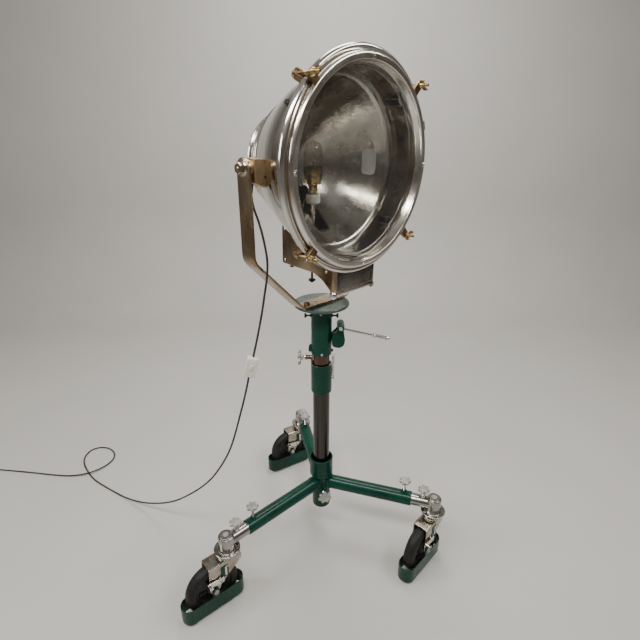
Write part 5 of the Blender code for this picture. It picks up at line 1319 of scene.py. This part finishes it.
class FOLLOWSPOT_OT_casters(Operator):
    """Makes the three swivel casters, with their forks, wheels, cable guards and brakes"""

    bl_idname = "followspot.casters"
    bl_label = "Casters"

    def execute(self, context):
        for k in (1, 2, 3):
            swivel, axle = joint_at(f"swivel_{k}"), joint_at(f"wheel_{k}_roll")
            at = placed(swivel * (1, 1, 0), Z, (axle - swivel) * (1, 1, 0))
            self.fork(k, at)
            self.wheel(k, at)
            self.guard(k, at)
            self.brake(k, at)
        return {"FINISHED"}

    def fork(self, k, at):
        """Two flat cheeks and a bent crown, with the swivel race and the bolts of the axle."""
        body, slot = f"caster_{k}", "chrome"
        side = soften([(-0.040, FORK_TOP - 0.001), (0.0915, FORK_TOP - 0.001), (0.0955, 0.112),
                       (0.0835, 0.0845), (0.0645, 0.0845), (0.0465, 0.120), (-0.0395, 0.187)], 0.006)
        cheeks = [moved(plate(side, FORK_T, 0.0006), (0, s * (FORK_HALF - FORK_T / 2), 0), -Y, X)
                  for s in (1, -1)]
        half = FORK_HALF - 0.0002
        bend = soften([(-half, FORK_TOP - 0.014), (-half, FORK_TOP - 0.0002), (half, FORK_TOP - 0.0002),
                       (half, FORK_TOP - 0.014)], 0.006, 6, loop=False)
        back = soften([(half - FORK_T, FORK_TOP - 0.014), (half - FORK_T, FORK_TOP - FORK_T),
                       (-half + FORK_T, FORK_TOP - FORK_T), (-half + FORK_T, FORK_TOP - 0.014)], 0.003, 4,
                      loop=False)
        crown = moved(plate(np.concatenate([bend, back]), 0.1315, 0.0006), (0.0258, 0, 0), X, Y)
        pad = soften([(0.016, 0.142), (0.047, 0.142), (0.047, 0.196), (0.016, 0.196)], 0.004)
        pads = [moved(plate(pad, 0.0016, 0.0005), (0, s * (FORK_HALF + 0.0006), 0), -Y, X) for s in (1, -1)]
        piece(f"brake_plate_{k}", pads, at, "green", body)
        strip = soften([(0.023, 0.150), (0.031, 0.150), (0.031, 0.192), (0.023, 0.192)], 0.002)
        strips = [moved(plate(strip, 0.0022, 0.0006), (0, s * (FORK_HALF + 0.0022), 0), -Y, X)
                  for s in (1, -1)]
        piece(f"brake_strip_{k}", strips, at, "chrome", body)
        piece(f"bent_fork_{k}", [*cheeks, crown], at, "caster", body, f"caster_fork_{k}", 35.0)
        race = turned(soften([(FORK_TOP - 0.001, 0.0), (FORK_TOP - 0.001, 0.0385),
                              (FORK_TOP + 0.004, 0.0395), (FORK_TOP + 0.010, 0.0390),
                              (FORK_TOP + 0.0145, 0.0350), (FORK_TOP + 0.0185, 0.0340),
                              (FORK_TOP + 0.0185, 0.0)], 0.001), 80)
        piece(f"swivel_race_{k}", race, at, "nickel", body)
        bolts = []
        for s in (1, -1):
            bolts.append(moved(hex_head(0.0175, 0.0065), (TRAIL, s * 0.0352, WHEEL_R), s * Y, X))
            bolts.append(moved(screw_head(0.0050, 0.0030), (TRAIL, s * 0.0412, WHEEL_R), s * Y, X))
            bolts.append(moved(screw_head(0.0045, 0.0028), (0.018, s * (FORK_HALF - 0.0002), 0.188), s * Y,
                               X))
        spacer = moved(rod(-0.0352, 0.0352, 0.0062, 24), (TRAIL, 0, WHEEL_R), Y, X)
        piece(f"axle_{k}", [*bolts, spacer], at, "cast", body, (), 30.0)

    def wheel(self, k, at):
        """A tyre and a wheel centre, each a turned outline that is the same on both sides, and six ribs."""
        hub = inside(at, (TRAIL, 0, WHEEL_R), Y, X)
        body, node = f"wheel_body_{k}", f"wheel_{k}"
        half = 0.0235
        side = [(half - 0.0085, 0.0680), (half - 0.0030, 0.0705), (half - 0.0008, 0.0760),
                (half - 0.0010, 0.0860), (half - 0.0050, 0.0950), (half - 0.0120, 0.1000), (0.0060, 0.1014),
                (0.0, 0.1016)]
        tyre = np.array([(-h, r) for h, r in side] + side[::-1][1:] + [(half - 0.0100, 0.0640),
                                                                       (-half + 0.0100, 0.0640)])
        piece(f"tyre_{k}", turned(soften(tyre, 0.0018), 128), hub, "rubber", body, node,
              40.0)
        disc = [(half - 0.009, 0.0665), (half - 0.010, 0.060), (half - 0.016, 0.055), (half - 0.016, 0.030),
                (half - 0.004, 0.024), (half - 0.0005, 0.019), (half - 0.0005, 0.0068)]
        both = np.array(disc + [(-h, r) for h, r in disc[::-1]])
        piece(f"wheel_centre_{k}", turned(soften(both, 0.0015), 96), hub, "wheel", body)
        ribs = [moved(box((0.026, 0.005, 0.0300), 0.001, 0.002), (RIB_CIRCLE * math.cos(t),
                                                                  RIB_CIRCLE * math.sin(t), 0), Z,
                      (math.cos(t), math.sin(t), 0)) for t in np.arange(6) * TURN / 6]
        piece(f"wheel_ribs_{k}", ribs, hub, "wheel", body)

    def guard(self, k, at):
        """The skirt, a thin section carried round two half circles and the straight sides between them, and
        its ears."""
        a = np.linspace(-np.pi / 2, np.pi / 2, 20)
        reach, half = 0.1233, 0.0342
        cap = np.stack([reach - half + half * np.cos(a), half * np.sin(a)], -1)
        ring = np.concatenate([cap, -cap])
        n = outline_normals(ring)
        low, high, wall = 0.0122, 0.0778, 0.0028
        section = soften([(0, low), (0, high), (wall, high), (wall, low)], 0.0009)
        points = ring[:, None] - n[:, None] * section[None, :, :1]
        skirt = np.concatenate([points, np.broadcast_to(section[None, :, 1:], (*points.shape[:2], 1))],
                               -1), "torus"
        piece(f"wheel_skirt_{k}", moved(skirt, (TRAIL, 0, 0)), at, "green", f"caster_{k}",
              f"cable_guard_{k}", 35.0)
        ear = soften([(-0.014, 0.060), (0.014, 0.060), (0.014, 0.104), (0.008, 0.1165), (-0.008, 0.1165),
                      (-0.014, 0.104)], 0.005)
        ears = [moved(plate(ear, 0.0026, 0.0006), (TRAIL, s * 0.0327, 0), -Y, X) for s in (1, -1)]
        piece(f"skirt_ears_{k}", ears, at, "green", f"caster_{k}")

    def brake(self, k, at):
        """A toe lever on its boss, with a pedal plate."""
        pivot = inside(at, (0.052, 0.037, 0.143), -Y, X)
        arm = soften([(-0.013, -0.011), (0.010, -0.010), (0.052, 0.004), (0.052, 0.018), (0.010, 0.012),
                      (-0.013, 0.013)], 0.006, 5)
        boss = rod(-0.0028, 0.0064, 0.0085, 32, 0.0006)
        pedal = moved(box((0.012, 0.026, 0.0045), 0.001, 0.002), (0.046, 0.0125, -0.0100), Y, X)
        piece(f"brake_toe_{k}", [plate(arm, 0.0036, 0.0008), boss, pedal], pivot, "chrome", f"brake_{k}",
              f"brake_lever_{k}", 35.0)
        rim = moved(hex_head(0.0100, 0.0035), (0, 0, -0.0060))
        piece(f"brake_bolt_{k}", rim, pivot, "cast", f"brake_{k}", (), 30.0)


# --- Nodes that keep their CAD shape, and the stage ---

BACKDROP_WAY = 45.2


class FOLLOWSPOT_OT_kept(Operator):
    """Gives the CAD nodes that still show their finishes"""

    bl_idname = "followspot.kept"
    bl_label = "Kept parts"

    def execute(self, context):
        for node in frame["nodes"].values():
            if not node.hide_render:
                for slot in node.material_slots:
                    slot.material = FINISHES["cast"]
        return {"FINISHED"}


class FOLLOWSPOT_OT_stage(Operator):
    """Makes the pale floor and wall, and the soft lights"""

    bl_idname = "followspot.stage"
    bl_label = "Stage"

    def execute(self, context):
        pale = finish("studio_paint", (0.52, 0.51, 0.49), (0.50, 0.49, 0.47), (0.6, 0.7), 0.0, 2.0)
        t = np.linspace(0, np.pi / 2, 12)
        curve = np.stack([2.4 + 1.0 * np.sin(t), 1.0 - 1.0 * np.cos(t)], -1)
        rows = np.concatenate([[(-6.0, 0.0)], curve, [(3.4, 6.0)]])
        wide = np.linspace(-8, 8, 3)
        way, across = level(BACKDROP_WAY), level(BACKDROP_WAY + 90.0)
        points = np.stack([rows[:, :1] * way + rows[:, 1:] * Z + w * across for w in wide], 1)
        mesh = bpy.data.meshes.new("studio")
        n, m = points.shape[:2]
        index = np.arange(n * m).reshape(n, m)
        quads = np.stack([index[:-1, :-1], index[:-1, 1:], index[1:, 1:], index[1:, :-1]], -1).reshape(-1, 4)
        mesh.from_pydata(points.reshape(-1, 3).tolist(), [], quads.tolist())
        mesh.shade_smooth()
        mesh.materials.append(pale)
        studio = bpy.data.objects.new("studio", mesh)
        context.scene.collection.objects.link(studio)
        world = bpy.data.worlds.new("studio_air")
        world.use_nodes = True
        self.air(world.node_tree)
        context.scene.world = world
        self.light("ceiling_left", (-1.6, -0.6, 3.2), (-0.2, 0.0, 0.5), (0.45, 2.6), 80.0)
        self.light("ceiling_right", (1.2, -1.8, 3.2), (0.3, 0.0, 0.5), (0.45, 2.6), 55.0)
        self.light("window", (-2.8, 1.4, 2.4), (0.0, 0.0, 1.0), (1.0, 1.4), 38.0)
        self.light("wall_wash", (0.9, 0.7, 3.4), (1.9, 1.8, 1.4), (2.2, 0.8), 70.0)
        return {"FINISHED"}

    def air(self, tree):
        """The room's own light: a ramp from the floor's grey, through a dark warm band, to a pale ceiling."""
        place, split, ramp = (tree.nodes.new(kind) for kind in
                              ("ShaderNodeTexCoord", "ShaderNodeSeparateXYZ", "ShaderNodeValToRGB"))
        tree.links.new(place.outputs["Generated"], split.inputs[0])
        height = tree.nodes.new("ShaderNodeMapRange")
        height.inputs["From Min"].default_value = -1.0
        tree.links.new(split.outputs["Z"], height.inputs["Value"])
        tree.links.new(height.outputs[0], ramp.inputs[0])
        stops = ((0.0, (0.24, 0.235, 0.225)), (0.46, (0.22, 0.21, 0.195)), (0.53, (0.115, 0.100, 0.085)),
                 (0.64, (0.17, 0.155, 0.14)), (0.80, (0.50, 0.485, 0.46)), (1.0, (0.30, 0.29, 0.28)))
        while len(ramp.color_ramp.elements) < len(stops):
            ramp.color_ramp.elements.new(0.5)
        for element, (at, colour) in zip(ramp.color_ramp.elements, stops):
            element.position = at
            element.color = (*colour, 1.0)
        tree.links.new(ramp.outputs[0], tree.nodes["Background"].inputs[0])
        tree.nodes["Background"].inputs[1].default_value = 0.8

    def light(self, name, at, towards, size, power):
        """A rectangular light at a point, turned towards another."""
        data = bpy.data.lights.new(name, "AREA")
        data.shape = "RECTANGLE"
        data.size, data.size_y = size
        data.energy = power
        data.color = (1.0, 0.97, 0.92)
        lamp = bpy.data.objects.new(name, data)
        bpy.context.scene.collection.objects.link(lamp)
        aim = placed(AXIS + at, np.subtract(at, towards), Z)
        lamp.matrix_world = [list(row) for row in aim.T]


# --- Settings, panel and running ---


class FollowSpotSettings(PropertyGroup):
    """The sizes and colours that a user would change"""

    cord_diameter: FloatProperty(name="Cord diameter", description="Thickness of the mains lead",
                                 default=0.007, unit="LENGTH")
    polished_colour: FloatVectorProperty(name="Polished metal", description="Colour of the lamp house",
                                         size=3, subtype="COLOR", default=(0.80, 0.785, 0.76))
    chrome_colour: FloatVectorProperty(name="Chrome", description="Colour of the plated parts", size=3,
                                       subtype="COLOR", default=(0.78, 0.77, 0.75))
    green_colour: FloatVectorProperty(name="Green paint", description="Colour of the painted parts", size=3,
                                      subtype="COLOR", default=(0.001, 0.050, 0.032))
    ivory_colour: FloatVectorProperty(name="Switch", description="Colour of the inline switch", size=3,
                                      subtype="COLOR", default=(0.80, 0.78, 0.72))


OPERATORS = (
    FOLLOWSPOT_OT_camera,
    FOLLOWSPOT_OT_leads,
    FOLLOWSPOT_OT_house,
    FOLLOWSPOT_OT_door,
    FOLLOWSPOT_OT_optics,
    FOLLOWSPOT_OT_lamp_box,
    FOLLOWSPOT_OT_trunnions,
    FOLLOWSPOT_OT_yoke,
    FOLLOWSPOT_OT_mast,
    FOLLOWSPOT_OT_column,
    FOLLOWSPOT_OT_base,
    FOLLOWSPOT_OT_casters,
    FOLLOWSPOT_OT_kept,
    FOLLOWSPOT_OT_stage,
)


class FOLLOWSPOT_PT_panel(Panel):
    """Lists the pieces in the 3D view's sidebar"""

    bl_label = "Follow Spot"
    bl_space_type = "VIEW_3D"
    bl_region_type = "UI"
    bl_category = "Follow Spot"

    def draw(self, context):
        for name in FollowSpotSettings.__annotations__:
            self.layout.prop(settings(), name)
        for operator in OPERATORS:
            self.layout.operator(operator.bl_idname)


CLASSES = (FollowSpotSettings, *OPERATORS, FOLLOWSPOT_PT_panel)


def register():
    """Adds the classes and the settings to Blender."""
    for cls in CLASSES:
        bpy.utils.register_class(cls)
    bpy.types.Scene.follow_spot = PointerProperty(type=FollowSpotSettings)


def unregister():
    """Takes them away again."""
    del bpy.types.Scene.follow_spot
    for cls in reversed(CLASSES):
        bpy.utils.unregister_class(cls)


def main():
    """Runs every operator in order."""
    register()
    make_finishes()
    for operator in OPERATORS:
        group, name = operator.bl_idname.split(".")
        getattr(getattr(bpy.ops, group), name)()


if __name__ == "__main__":
    main()
